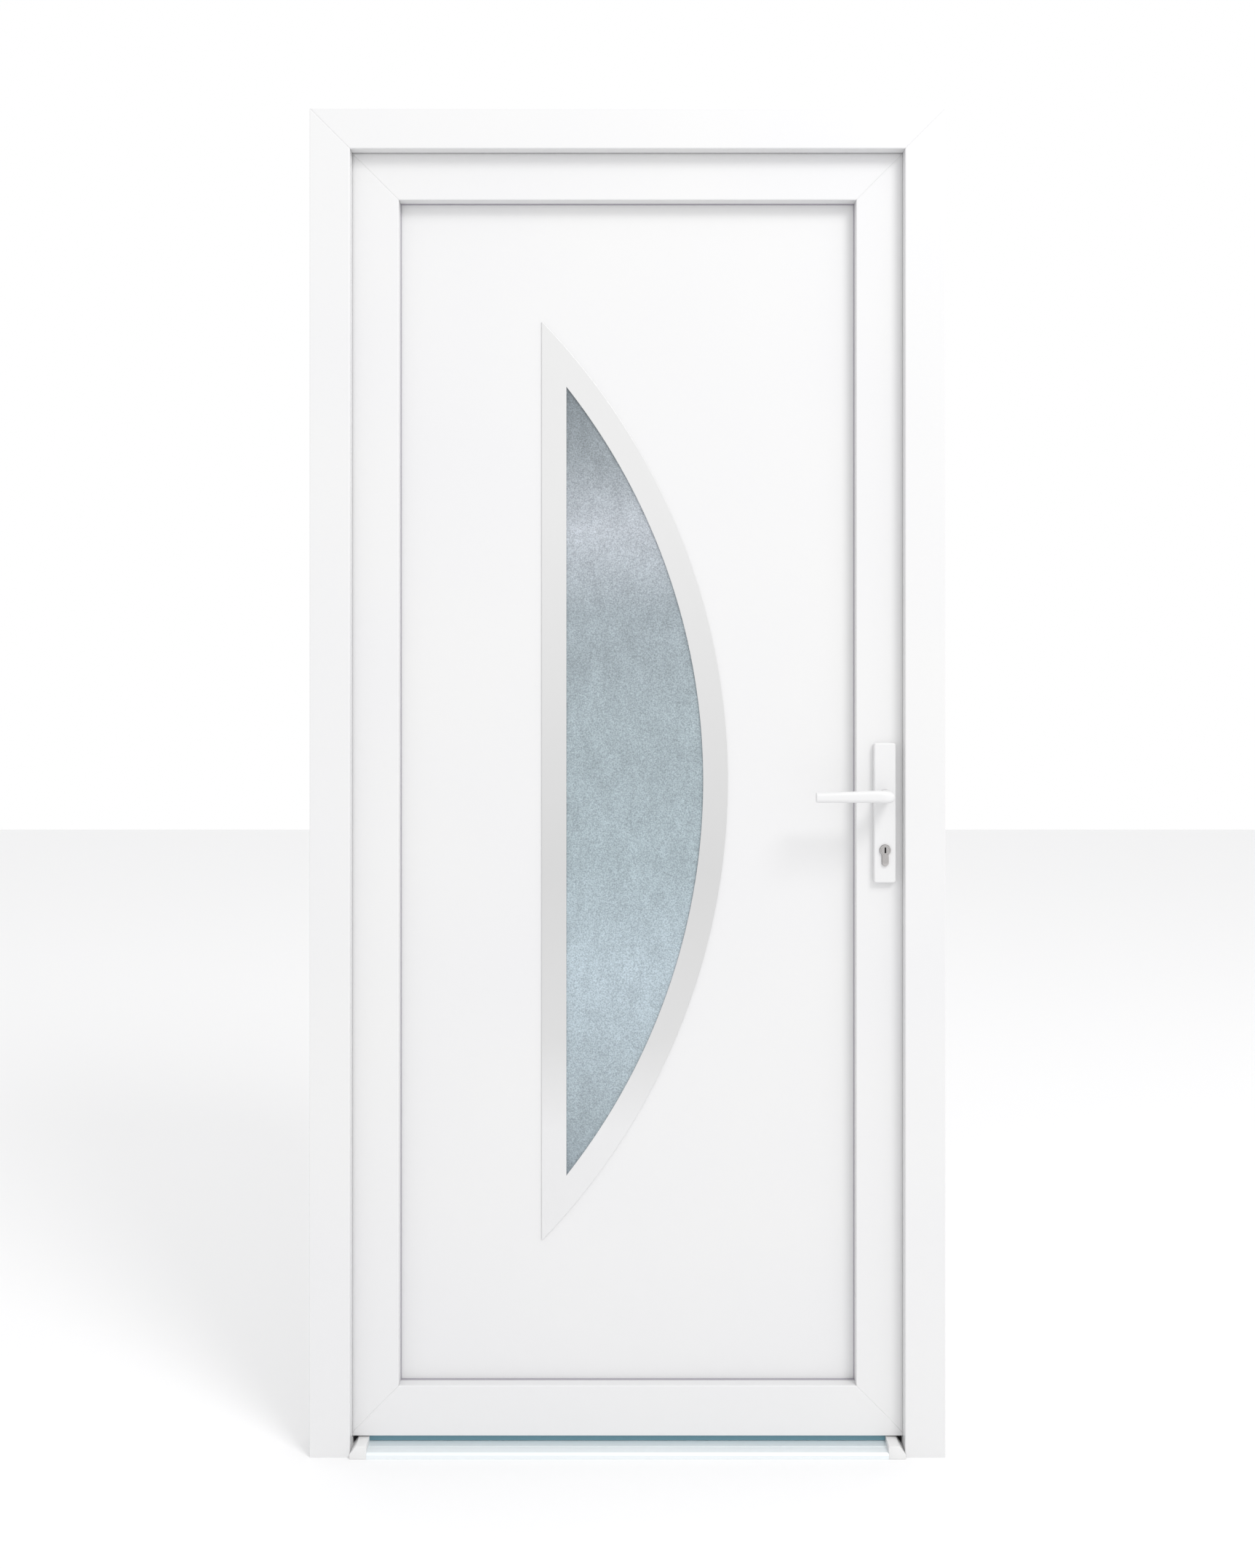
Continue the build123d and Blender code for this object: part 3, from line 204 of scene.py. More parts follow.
def new_material(name, color, roughness, metallic=0.0):
    """Material with one principled shader; gives the material, its nodes, its links and the
    shader."""
    material = bpy.data.materials.new(name)
    material.use_nodes = True
    tree = material.node_tree
    shader = tree.nodes["Principled BSDF"]
    shader.inputs["Base Color"].default_value = (*color, 1)
    shader.inputs["Roughness"].default_value = roughness
    shader.inputs["Metallic"].default_value = metallic
    return material, tree.nodes, tree.links, shader


def noise(nodes, links, scale, detail=3.0, stretch=(1, 1, 1), source="Object"):
    """Noise texture on object or UV coordinates, drawn out where stretch is under one."""
    coordinates = nodes.new("ShaderNodeTexCoord")
    mapping = nodes.new("ShaderNodeMapping")
    mapping.inputs["Scale"].default_value = stretch
    texture = nodes.new("ShaderNodeTexNoise")
    texture.inputs["Scale"].default_value = scale
    texture.inputs["Detail"].default_value = detail
    links.new(coordinates.outputs[source], mapping.inputs["Vector"])
    links.new(mapping.outputs["Vector"], texture.inputs["Vector"])
    return texture.outputs["Fac"]


def between(nodes, links, factor, low, high, output):
    """Drives a socket from low to high with a 0..1 factor."""
    span = nodes.new("ShaderNodeMapRange")
    span.inputs["From Min"].default_value = 0.3
    span.inputs["From Max"].default_value = 0.7
    span.inputs["To Min"].default_value = low
    span.inputs["To Max"].default_value = high
    links.new(factor, span.inputs["Value"])
    links.new(span.outputs["Result"], output)


def two_tone(nodes, links, factor, first, second, shader):
    """Base colour between two close colours."""
    ramp = nodes.new("ShaderNodeValToRGB")
    ramp.color_ramp.elements[0].position = 0.3
    ramp.color_ramp.elements[0].color = (*first, 1)
    ramp.color_ramp.elements[1].position = 0.7
    ramp.color_ramp.elements[1].color = (*second, 1)
    links.new(factor, ramp.inputs["Fac"])
    links.new(ramp.outputs["Color"], shader.inputs["Base Color"])


def add_bump(nodes, links, shader, height, distance, strength=1.0):
    """Bump from a height output, stacked on the shader's earlier bump if it has one."""
    bump = nodes.new("ShaderNodeBump")
    bump.inputs["Distance"].default_value = distance
    bump.inputs["Strength"].default_value = strength
    links.new(height, bump.inputs["Height"])
    earlier = shader.inputs["Normal"].links
    if earlier:
        links.new(earlier[0].from_socket, bump.inputs["Normal"])
    links.new(bump.outputs["Normal"], shader.inputs["Normal"])


def extruded_pvc(name, stretch):
    """Gloss white plastic with barely seen lines along the extrusion and a slight waviness."""
    material, nodes, links, shader = new_material(name, (0.74, 0.74, 0.745), 0.3)
    cloud = noise(nodes, links, 2.2, 2.0)
    two_tone(nodes, links, cloud, (0.732, 0.732, 0.742), (0.748, 0.748, 0.748), shader)
    lines = noise(nodes, links, 420, 2.0, stretch)
    between(nodes, links, lines, 0.28, 0.32, shader.inputs["Roughness"])
    add_bump(nodes, links, shader, lines, 0.00001, 0.06)
    add_bump(nodes, links, shader, noise(nodes, links, 5.5, 1.0), 0.0006, 0.06)
    return material


def finish_piece(obj, material, body, slot, *nodes):
    """Gives obj its material and body, and hides the frame nodes it stands for; slot is not used.
    """
    obj.data.materials.clear()
    obj.data.materials.append(material)
    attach(obj, body)
    if nodes:
        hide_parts(*nodes)


def dress(names, material):
    """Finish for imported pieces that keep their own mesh."""
    for name in names:
        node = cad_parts[name]
        node.data.materials.clear()
        node.data.materials.append(material)


pvc_upright = extruded_pvc("white pvc, upright", (1, 1, 0.012))
pvc_level = extruded_pvc("white pvc, level", (0.012, 1, 1))
frame_loop = rounded_loop(
    [(0, -35, 1), (62, -35, 1.6), (62, -16, 1), (44, -16, 0.3), (44, 35, 0.5), (0, 35, 0.5)]
)
head = profile_bar("frame_head_profile", "top", frame_loop)
finish_piece(head, pvc_level, "frame", "white_pvc", "frame_head")
wall_screws = {"heights": (170, 700, 1380, 1910), "y": 3, "from": 492, "to": 442, "radius": 5.0}
wall_holes = {
    side: [
        (
            (side * wall_screws["from"], wall_screws["y"], z),
            (side * wall_screws["to"], wall_screws["y"], z),
            wall_screws["radius"],
        )
        for z in wall_screws["heights"]
    ]
    for side in (-1, 1)
}
hinge_jamb = profile_bar("frame_jamb_hinge_profile", "hinge", frame_loop, floor=0)
cut_away(hinge_jamb, wall_holes[-1])
finish_piece(hinge_jamb, pvc_upright, "frame", "white_pvc", "frame_jamb_hinge_side")
lock_jamb = profile_bar("frame_jamb_lock_profile", "lock", frame_loop, floor=0)
keep_pockets = [
    ((440, 13, low), (459, 29, high))
    for low, high in ((956, 992), (1680.5, 1745.5), (274.5, 339.5))
]
cut_away(lock_jamb, wall_holes[1] + keep_pockets)
finish_piece(lock_jamb, pvc_upright, "frame", "white_pvc", "frame_jamb_lock_side")

# ---- Steel in the frame ----
# Galvanised channels inside the main chambers, out of sight once the frame is welded. They
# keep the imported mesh.
def bare_metal(name, color, roughness, grain):
    """Plain metal: noise of the given grain per metre varies roughness by 0.06 and lifts the
    surface by 0.02 mm."""
    material, nodes, links, shader = new_material(name, color, roughness, 1.0)
    speckle = noise(nodes, links, grain, 4.0)
    low, high = roughness - 0.06, roughness + 0.06
    between(nodes, links, speckle, low, high, shader.inputs["Roughness"])
    add_bump(nodes, links, shader, speckle, 0.00002, 0.4)
    return material


galvanised = bare_metal("galvanised steel", (0.62, 0.64, 0.66), 0.42, 90)
dress(["frame_steel"], galvanised)

# ---- Frame seal ----
# Black rubber lip clipped behind the stop, up both jambs and across the head; the closed
# leaf presses on it.
def rubber(name, color):
    """Dull rubber with a fine grain."""
    material, nodes, links, shader = new_material(name, color, 0.62)
    shader.inputs["Specular IOR Level"].default_value = 0.3
    add_bump(nodes, links, shader, noise(nodes, links, 1400, 2.0), 0.00003, 0.5)
    return material


def seal_run(name, loop, low=None):
    """Seal section carried round the door in one piece: mitred rows at the corners, a closed
    ring, or open at a height above the floor."""
    order = [("hinge", 0.0), ("hinge", 1.0), ("lock", 1.0), ("lock", 0.0)]
    rows = []
    for place, (side, end) in enumerate(order):
        for share in (np.linspace(0, 1, 7) if place in (0, 2) else ()):
            rows.append((side, share if end == 0.0 else 1 - share))
    grid = np.stack([place_on_side(side, loop[:, 0], loop[:, 1], share) for side, share in rows])
    if low is not None:
        grid[..., 2] = np.maximum(grid[..., 2], low)
    return skin(name, grid, ring=low is None)


black_rubber = rubber("black rubber", (0.018, 0.018, 0.02))
frame_seal = seal_run(
    "frame_seal_lip",
    rounded_loop([(56.6, -15.9, 0.4), (61.8, -15.9, 0.3), (61.6, -14.4, 0.6), (56.6, -14.4, 0.6)]),
    low=21,  # ends on the threshold
)
finish_piece(frame_seal, black_rubber, "frame", "black_seal", "frame_seal")

# ---- Threshold ----
# Low aluminium threshold in two rails with a black plastic break between them, between white
# moulded end caps that fill the corners under the jambs. The outer rail slopes to the front
# and carries a rubber wiper on its upstand.
def extruded_rail(name, outline, low_x, high_x):
    """Section in Y and Z drawn along X between two ends, softened over the last 0.25 mm."""
    soft, rows = 0.25, 9  # mm off each end's edge, rows of full section
    loop = rounded_loop(outline, 0.3)
    inside = loop - loop_normals(loop) * soft
    x = np.concatenate([[low_x], np.linspace(low_x + soft, high_x - soft, rows), [high_x]])
    sections = np.stack([inside] + [loop] * rows + [inside])
    grid = np.concatenate(
        [np.broadcast_to(x[:, None, None], sections.shape[:2] + (1,)), sections], axis=2
    )
    return skin(name, grid)


def aluminium(name, color, roughness):
    """Satin anodised aluminium with fine lines along its length, milky from its coating."""
    material, nodes, links, shader = new_material(name, color, roughness, 0.35)
    lines = noise(nodes, links, 900, 3.0, (0.01, 1, 1))
    between(nodes, links, lines, roughness - 0.07, roughness + 0.07, shader.inputs["Roughness"])
    add_bump(nodes, links, shader, lines, 0.00003, 0.3)
    return material


rail_metal = aluminium("satin aluminium", (0.83, 0.875, 0.895), 0.42)
rail_outer = extruded_rail(
    "threshold_outer_rail",
    [
        (-40, 0, 0.3), (-40, 6, 1), (-37, 9, 1.5), (-24, 10.28, 0.3), (-23.8, 9.8, 0.2),
        (-23.2, 9.86, 0.2), (-23, 10.38, 0.3), (-6.5, 12, 0.5), (-6.5, 20, 0.6), (-2, 20, 0.6),
        (-2, 0, 0.3),
    ],
    -402, 402,
)
finish_piece(rail_outer, rail_metal, "frame", "aluminium_rail", "threshold_outer")
break_black, nodes, links, shader = new_material("black polyamide", (0.025, 0.025, 0.027), 0.5)
add_bump(nodes, links, shader, noise(nodes, links, 700, 3.0), 0.00004, 0.5)
rail_break = extruded_rail(
    "threshold_thermal_break", [(-2, 0, 0.2), (-2, 19.9, 0.3), (3, 19.9, 0.3), (3, 0, 0.2)],
    -446, 446,
)
finish_piece(rail_break, break_black, "frame", "thermal_break_black", "threshold_break")
rail_inner = extruded_rail(
    "threshold_inner_rail",
    [
        (3, 0, 0.3), (3, 20, 0.6), (11.6, 20, 0.3), (11.9, 19.4, 0.2), (12.7, 19.4, 0.2),
        (13, 20, 0.3), (21.6, 20, 0.3), (21.9, 19.4, 0.2), (22.7, 19.4, 0.2), (23, 20, 0.3),
        (35, 20, 1.2), (35, 0, 0.3),
    ],
    -446, 446,
)
finish_piece(rail_inner, rail_metal, "frame", "aluminium_rail", "threshold_inner")


def softened(name, node, width, segments=2):
    """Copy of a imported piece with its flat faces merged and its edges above 35 degrees
    rounded by width in mm."""
    edit = bmesh.new()
    edit.from_mesh(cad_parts[node].data)
    bmesh.ops.remove_doubles(edit, verts=edit.verts, dist=2e-6)
    bmesh.ops.dissolve_limit(
        edit, angle_limit=math.radians(0.8), verts=edit.verts, edges=edit.edges
    )
    bmesh.ops.recalc_face_normals(edit, faces=edit.faces)
    edges = [
        e for e in edit.edges
        if len(e.link_faces) == 2 and e.calc_face_angle(0) > math.radians(35)
    ]
    bmesh.ops.bevel(
        edit, geom=edges, offset=width * MM, segments=segments, profile=0.5,
        affect="EDGES", clamp_overlap=True,
    )
    bmesh.ops.triangulate(edit, faces=[f for f in edit.faces if len(f.verts) > 4])
    mesh = bpy.data.meshes.new(name)
    edit.to_mesh(mesh)
    edit.free()
    return settle(name, mesh)


moulded_white, nodes, links, shader = new_material(
    "moulded white plastic", (0.75, 0.75, 0.75), 0.4
)
add_bump(nodes, links, shader, noise(nodes, links, 900, 2.0), 0.00003, 0.4)
for side in ("hinge_side", "lock_side"):
    cap = softened(f"threshold_end_cap_{side}", f"threshold_cap_{side}", 0.8, 3)
    finish_piece(cap, moulded_white, "frame", "white_pvc", f"threshold_cap_{side}")
wiper = extruded_rail(
    "threshold_wiper",
    [(-9.5, 12.5, 0.3), (-9.5, 20.6, 0.6), (-8, 21.3, 0.6), (-6.5, 20.6, 0.5), (-6.5, 12.4, 0.3)],
    -402, 402,
)
wiper_rubber = rubber("wiper rubber", (0.13, 0.25, 0.3))
finish_piece(wiper, wiper_rubber, "frame", "black_seal", "threshold_seal")

# ---- Leaf profiles ----
# Four white PVC-U profiles, mitred and welded: a flat outer face, a soft-edged glazing leg,
# a lock groove round the edge and a flange that laps over the frame inside. The lock stile is
# milled for the lock case, the hook cases, the cylinder and the spindle.
leaf_loop = rounded_loop(
    [
        (56, -14, 1), (134, -14, 1.6), (134, 4, 0.6), (116, 4, 0.3), (116, 56, 0.5),
        (36, 56, 3), (36, 37, 1), (56, 37, 0.3), (56, 29, 0.25), (59, 29, 0.25),
        (59, 27.5, 0.25), (64.5, 27.5, 0.25), (64.5, 14.5, 0.25), (59, 14.5, 0.25),
        (59, 13, 0.25), (56, 13, 0.25),
    ]
)
foot_loop = leaf_loop.copy()
foot_loop[:, 0] = np.maximum(foot_loop[:, 0], 39)  # the foot's flange clears the threshold
SPINDLE = {"x": 399, "handle_z": 1020, "cylinder_z": 935, "bolt_z": (1088, 897)}  # mm
for side, node, material, loop in (
    ("top", "leaf_top_rail", pvc_level, leaf_loop),
    ("bottom", "leaf_bottom_rail", pvc_level, foot_loop),
    ("hinge", "leaf_hinge_stile", pvc_upright, leaf_loop),
    ("lock", "leaf_lock_stile", pvc_upright, leaf_loop),
):
    member = profile_bar(f"{node}_profile", side, loop, lowest=5)
    if side == "lock":
        x, handle_z, cylinder_z = SPINDLE["x"], SPINDLE["handle_z"], SPINDLE["cylinder_z"]
        cases = [
            ((back, 12.6, low), (436, 29.4, high))
            for back, low, high in (
                (379.6, 871.6, 1095.4), (398, 1663.6, 1748.4), (398, 271.6, 356.4)
            )
        ]
        passages = [
            ((x, -20, handle_z), (x, 60, handle_z), 11.0),
            ((x, -20, cylinder_z), (x, 60, cylinder_z), 9.4),
            ((x - 5.8, -20, 910), (x + 5.8, 60, cylinder_z)),
        ]
        bolts = [((x, -20, z), (x, 60, z), 2.6) for z in SPINDLE["bolt_z"]]
        cut_away(member, cases + passages + bolts)
    finish_piece(member, material, "leaf", "white_pvc", node)
dress(["leaf_steel"], galvanised)
leaf_seal = seal_run(
    "leaf_seal_lip",
    rounded_loop([(40.1, 36.9, 0.3), (40.1, 35.5, 0.6), (43.9, 35.5, 0.6), (43.9, 36.9, 0.3)]),
)
finish_piece(leaf_seal, black_rubber, "leaf", "black_seal", "leaf_seal")

# ---- Infill panel ----
# A flat sandwich panel: two white plastic skins on a foam core, standing on packers, held
# between grey gaskets by beads that clip in from the room side.
skin_white, nodes, links, shader = new_material("panel skin", (0.74, 0.74, 0.745), 0.3)
cloud = noise(nodes, links, 1.8, 2.0)
two_tone(nodes, links, cloud, (0.732, 0.732, 0.742), (0.748, 0.748, 0.748), shader)
add_bump(nodes, links, shader, noise(nodes, links, 260, 3.0), 0.00003, 0.3)
add_bump(nodes, links, shader, noise(nodes, links, 3.0, 1.0), 0.001, 0.06)
dress(["panel_outer_skin", "panel_inner_skin"], skin_white)
foam, nodes, links, shader = new_material("insulation foam", (0.72, 0.62, 0.42), 0.9)
add_bump(nodes, links, shader, noise(nodes, links, 900, 4.0), 0.0004, 0.8)
dress(["panel_core"], foam)
packer, nodes, links, shader = new_material("packer plastic", (0.08, 0.16, 0.34), 0.45)
add_bump(nodes, links, shader, noise(nodes, links, 500, 2.0), 0.00005, 0.5)
dress(["panel_packers"], packer)
grey_rubber = rubber("grey rubber", (0.36, 0.345, 0.385))
for name, node, corners in (
    ("infill_gasket_outer", "infill_seal_outer",
     [(121, 4, 0.4), (134.5, 4, 0.4), (134.9, 5.6, 0.8), (135.1, 7, 0.2), (121, 7, 0.4)]),
    ("infill_gasket_inner", "infill_seal_inner",
     [(121, 31, 0.4), (135, 31, 0.4), (135, 33.9, 1.2), (121, 34, 0.4)]),
):
    gasket = seal_run(name, rounded_loop(corners))
    finish_piece(gasket, grey_rubber, "leaf", "grey_seal", node)
bead_loop = rounded_loop(
    [(116.1, 34, 0.4), (136, 34, 0.6), (136, 51, 1.5), (131, 56, 1.5), (116.1, 56, 0.4)]
)
beads = [
    profile_bar(f"glazing_bead_{side}", side, bead_loop, weld=(0.15, 0.5))
    for side in ("top", "bottom", "hinge", "lock")
]
for bead, material in zip(beads, (pvc_level, pvc_level, pvc_upright, pvc_upright)):
    finish_piece(bead, material, "leaf", "white_pvc", "glazing_beads")

# ---- Half-moon light ----
# A D-shaped double-glazed unit: a straight chord on the hinge side, an arc on the lock side.
# The outer pane is obscure glass with a pebbled face, the inner pane is clear, and brushed
# metal trims clamp the unit from both sides, each on a bed of sealant.
MOON = {"chord": -134.3, "rise": 291.5, "half": 721.5, "z": 1040.0}  # mm


def moon_path(inset, share):
    """X and Z on the D outline moved in by inset, share running 0..1 up the chord and 1..2
    down the arc: X = cx + (R - inset) cos t, Z = 1040 + (R - inset) sin t on the arc."""
    radius = (MOON["half"] ** 2 + MOON["rise"] ** 2) / (2 * MOON["rise"])
    centre = MOON["chord"] + MOON["rise"] - radius
    chord, arc = MOON["chord"] + inset, radius - inset
    tip = np.sqrt(arc**2 - (chord - centre) ** 2)
    span = np.arctan2(tip, chord - centre)
    angle = span * (1 - 2 * np.clip(share - 1, 0, 1))
    straight = share <= 1
    x = np.where(straight, chord, centre + arc * np.cos(angle))
    z = np.where(straight, -tip + 2 * tip * share, arc * np.sin(angle))
    return x, MOON["z"] + z


def moon_ring(name, corners):
    """Trim section (inset, Y) carried round the D, with close rows at both tips so that the
    two faces meet there in a sharp mitre."""
    loop = rounded_loop(corners, 0.15)
    near = np.array([0, 0.0005, 0.0015])
    up = np.concatenate([near, np.linspace(0, 1, 20)[1:-1], [0.9985, 0.9995]])
    down = 1 + np.concatenate([near, np.linspace(0, 1, 110)[1:-1], [0.9985, 0.9995]])
    share = np.concatenate([up, down])[:, None]
    inset = np.broadcast_to(loop[:, 0], (len(share), len(loop)))
    x, z = moon_path(inset, share)
    grid = np.stack(np.broadcast_arrays(x, loop[:, 1], z), axis=-1)
    return skin(name, grid, ring=True)


def painted_reflection_by_height(nodes, links, low, high, tones):
    """Painted reflection: base colour that changes with height between two levels in metres, bands
    of reflected light and shade painted in; tones are (share of the height, colour)."""
    coordinates = nodes.new("ShaderNodeTexCoord")
    apart = nodes.new("ShaderNodeSeparateXYZ")
    links.new(coordinates.outputs["Object"], apart.inputs["Vector"])
    height = nodes.new("ShaderNodeMapRange")
    height.inputs["From Min"].default_value = low
    height.inputs["From Max"].default_value = high
    links.new(apart.outputs["Z"], height.inputs["Value"])
    ramp = nodes.new("ShaderNodeValToRGB")
    while len(ramp.color_ramp.elements) < len(tones):
        ramp.color_ramp.elements.new(0.5)
    for element, (position, tone) in zip(ramp.color_ramp.elements, tones):
        element.position, element.color = position, (*tone, 1)
    links.new(height.outputs["Result"], ramp.inputs["Fac"])
    return ramp.outputs["Color"]


trim_metal, nodes, links, shader = new_material("brushed trim", (0.74, 0.74, 0.74), 0.36, 0.8)
strokes = noise(nodes, links, 1500, 3.0, (1, 0.006, 1), "UV")
between(nodes, links, strokes, 0.32, 0.4, shader.inputs["Roughness"])
add_bump(nodes, links, shader, strokes, 0.00002, 0.25)
# Painted reflection: the trims' base colour runs through lighter and darker bands by height,
# standing for the light and shade they reflect, not for the metal's own colour.
painted_trim_reflection = painted_reflection_by_height(
    nodes, links, 0.318, 1.762,
    [
        (0.0, (0.77, 0.77, 0.775)), (0.12, (0.77, 0.77, 0.775)), (0.22, (0.67, 0.67, 0.67)),
        (0.40, (0.645, 0.645, 0.645)), (0.6, (0.715, 0.715, 0.715)), (0.8, (0.765, 0.765, 0.765)),
        (1.0, (0.775, 0.775, 0.775)),
    ],
)
links.new(painted_trim_reflection, shader.inputs["Base Color"])
trims = {
    "outer_trim": [(0, 7, 0.15), (0, 4.7, 0.15), (0.25, 4.5, 0.15), (38.1, 4.5, 0.15),
                   (38.4, 4.7, 0.15), (38.4, 7, 0.15)],
    "inner_trim": [(0, 31, 0.15), (0, 33.3, 0.15), (0.25, 33.5, 0.15), (38.1, 33.5, 0.15),
                   (38.4, 33.3, 0.15), (38.4, 31, 0.15)],
}
for node, corners in trims.items():
    finish_piece(moon_ring(f"{node}_ring", corners), trim_metal, "leaf", "brushed_trim", node)
obscure, nodes, links, shader = new_material("obscure glass", (0.4, 0.45, 0.48), 0.22)
# Painted reflection: the obscure pane's base colour runs through light and dark bands by height,
# standing for the light and shade it reflects; the grain and patches below then vary it at random.
painted_reflection_and_grain = painted_reflection_by_height(
    nodes, links, 0.38, 1.70,
    [
        (0.0, (0.27, 0.32, 0.36)), (0.10, (0.37, 0.44, 0.48)), (0.26, (0.48, 0.57, 0.63)),
        (0.40, (0.39, 0.47, 0.51)), (0.56, (0.37, 0.44, 0.475)), (0.70, (0.345, 0.4, 0.435)),
        (0.80, (0.50, 0.54, 0.59)), (0.88, (0.32, 0.36, 0.39)), (1.0, (0.16, 0.19, 0.21)),
    ],
)
grain = noise(nodes, links, 520, 4.0)
patches = noise(nodes, links, 45, 2.0, (1, 1, 0.5))
for factor, low, high in ((grain, 0.72, 1.3), (patches, 0.93, 1.07)):
    gain = nodes.new("ShaderNodeMapRange")
    gain.inputs["From Min"].default_value = 0.3
    gain.inputs["From Max"].default_value = 0.7
    gain.inputs["To Min"].default_value = low
    gain.inputs["To Max"].default_value = high
    gain.clamp = False
    links.new(factor, gain.inputs["Value"])
    scaled = nodes.new("ShaderNodeVectorMath")
    scaled.operation = "SCALE"
    links.new(painted_reflection_and_grain, scaled.inputs["Vector"])
    links.new(gain.outputs["Result"], scaled.inputs["Scale"])
    painted_reflection_and_grain = scaled.outputs["Vector"]
links.new(painted_reflection_and_grain, shader.inputs["Base Color"])
shader.inputs["Transmission Weight"].default_value = 0.2
shader.inputs["IOR"].default_value = 1.5
pebbles = nodes.new("ShaderNodeTexVoronoi")
pebbles.inputs["Scale"].default_value = 330
pebbles.feature = "SMOOTH_F1"
links.new(nodes.new("ShaderNodeTexCoord").outputs["Object"], pebbles.inputs["Vector"])
add_bump(nodes, links, shader, pebbles.outputs["Distance"], 0.0009, 0.8)
add_bump(nodes, links, shader, grain, 0.0004, 0.6)
clear, nodes, links, shader = new_material("clear glass", (0.96, 0.98, 0.97), 0.03)
shader.inputs["Transmission Weight"].default_value = 1.0
shader.inputs["IOR"].default_value = 1.5
add_bump(nodes, links, shader, noise(nodes, links, 3, 1.0), 0.0002, 0.1)


def moon_pane(name, low_y, high_y):
    """Pane of the D outline at an inset of 15 mm, its edges ground over 0.4 mm: rows step
    round the edge and close on a cap at each face."""
    share = np.concatenate([np.linspace(0, 1, 30)[:-1], 1 + np.linspace(0, 1, 140)[:-1]])
    rows = [(15.4, low_y), (15.0, low_y + 0.4), (15.0, high_y - 0.4), (15.4, high_y)]
    grid = np.stack(
        [np.stack(np.broadcast_arrays(*moon_path(i, share), y), axis=-1)[:, [0, 2, 1]]
         for i, y in rows]
    )
    return skin(name, grid)


outer_pane = moon_pane("obscure_pane", 7, 11)
finish_piece(outer_pane, obscure, "leaf", "textured_glass", "glass_outer_pane")
inner_pane = moon_pane("clear_pane", 27, 31)
finish_piece(inner_pane, clear, "leaf", "clear_glass", "glass_inner_pane")
spacer = bare_metal("spacer bar", (0.7, 0.71, 0.72), 0.35, 200)
dress(["glass_spacer"], spacer)

# ---- Hinges ----
# Three surface hinges, white coated: a flag wing screwed to the frame with the pin standing
# in it, and a wing screwed to the leaf whose knuckle drops over the pin.
coat, nodes, links, shader = new_material("white powder coat", (0.735, 0.735, 0.74), 0.3)
add_bump(nodes, links, shader, noise(nodes, links, 620, 2.0), 0.00005, 0.5)
for place in ("lower", "middle", "upper"):
    for part, body in (("frame_wing", "frame"), ("leaf_wing", "leaf")):
        node = f"{place}_hinge_{part}"
        wing = softened(f"{node}_body", node, 0.7, 2)
        finish_piece(wing, coat, body, "white_coated_metal", node)
zinc = bare_metal("zinc plated steel", (0.66, 0.68, 0.7), 0.3, 160)
dress(["hinge_pins"], zinc)

# ---- Keeps ----
# Zinc-plated keeps on the lock jamb: a centre keep with a lip for the latch and a window for
# the deadbolt, and one for each hook.
for node in ("centre_keep", "hook_keeps"):
    keep = softened(f"{node}_plate", node, 0.4)
    finish_piece(keep, zinc, "frame", "zinc_steel", node)

# ---- Lock ----
# Three-point lock in the lock stile: a long faceplate, the case with latch and deadbolt, and
# two hook cases worked by rods behind the faceplate. The mechanism is nickel and zinc steel.
faceplate = softened("lock_faceplate_strip", "lock_faceplate", 0.4)
finish_piece(faceplate, zinc, "leaf", "zinc_steel", "lock_faceplate")
nickel = bare_metal("satin nickel", (0.47, 0.455, 0.45), 0.24, 240)
for node, body in (("latch_bolt", "latch"), ("deadbolt", "deadbolt")):
    bolt = softened(f"{node}_nose", node, 0.5, 3)
    finish_piece(bolt, nickel, body, "nickel", node)
for node in ("upper_hook", "lower_hook"):
    hook = softened(f"{node}_body", node, 0.5, 2)
    finish_piece(hook, zinc, node, "zinc_steel", node)
dress(["lock_case", "hook_cases"], galvanised)
dress(["upper_drive_rod", "lower_drive_rod", "lock_follower", "spindle"], zinc)

# ---- Cylinder ----
# Nickel-plated cylinder with a round plug and keyway at each end and a cam in the middle.
body_piece = softened("cylinder_housing", "cylinder_body", 0.3)
finish_piece(body_piece, nickel, "leaf", "nickel", "cylinder_body")
for node, body in (("outer_plug", "key_plug"), ("inner_plug", "inner_plug")):
    plug = softened(f"{node}_face", node, 0.3)
    finish_piece(plug, nickel, body, "nickel", node)
cam_brass = bare_metal("brass cam", (0.75, 0.58, 0.3), 0.35, 200)
dress(["cylinder_cam"], cam_brass)

# ---- Handles ----
# White coated handle set: a long plate with soft edges on each face, bolted together through
# the stile, and a lever on each side. The neck is round in the plate and bends into an arm
# that thins towards its tip.
def back_plate(name, near_y, far_y):
    """Plate with 4 mm corners whose outer rim is rounded: inset = 2.5 (1 - sin t) and depth
    = far - 2.5 (1 - cos t) toward the leaf."""
    rim = 2.5
    outwards = np.sign(far_y - near_y)
    outline = rounded_loop([(382, 884, 4), (416, 884, 4), (416, 1101, 4), (382, 1101, 4)])
    normals = loop_normals(outline)
    turn = np.linspace(math.pi / 2, 0, 7)
    insets = np.concatenate([[0.0, 0.0], rim * (1 - np.sin(turn))])
    rising = far_y - outwards * rim * (1 - np.cos(turn))
    depths = np.concatenate([[near_y, near_y + outwards * 1], rising])
    flat = outline[None] - normals[None] * insets[:, None, None]
    y = np.broadcast_to(depths[:, None], flat.shape[:2])
    return skin(name, np.stack([flat[..., 0], y, flat[..., 1]], axis=-1))


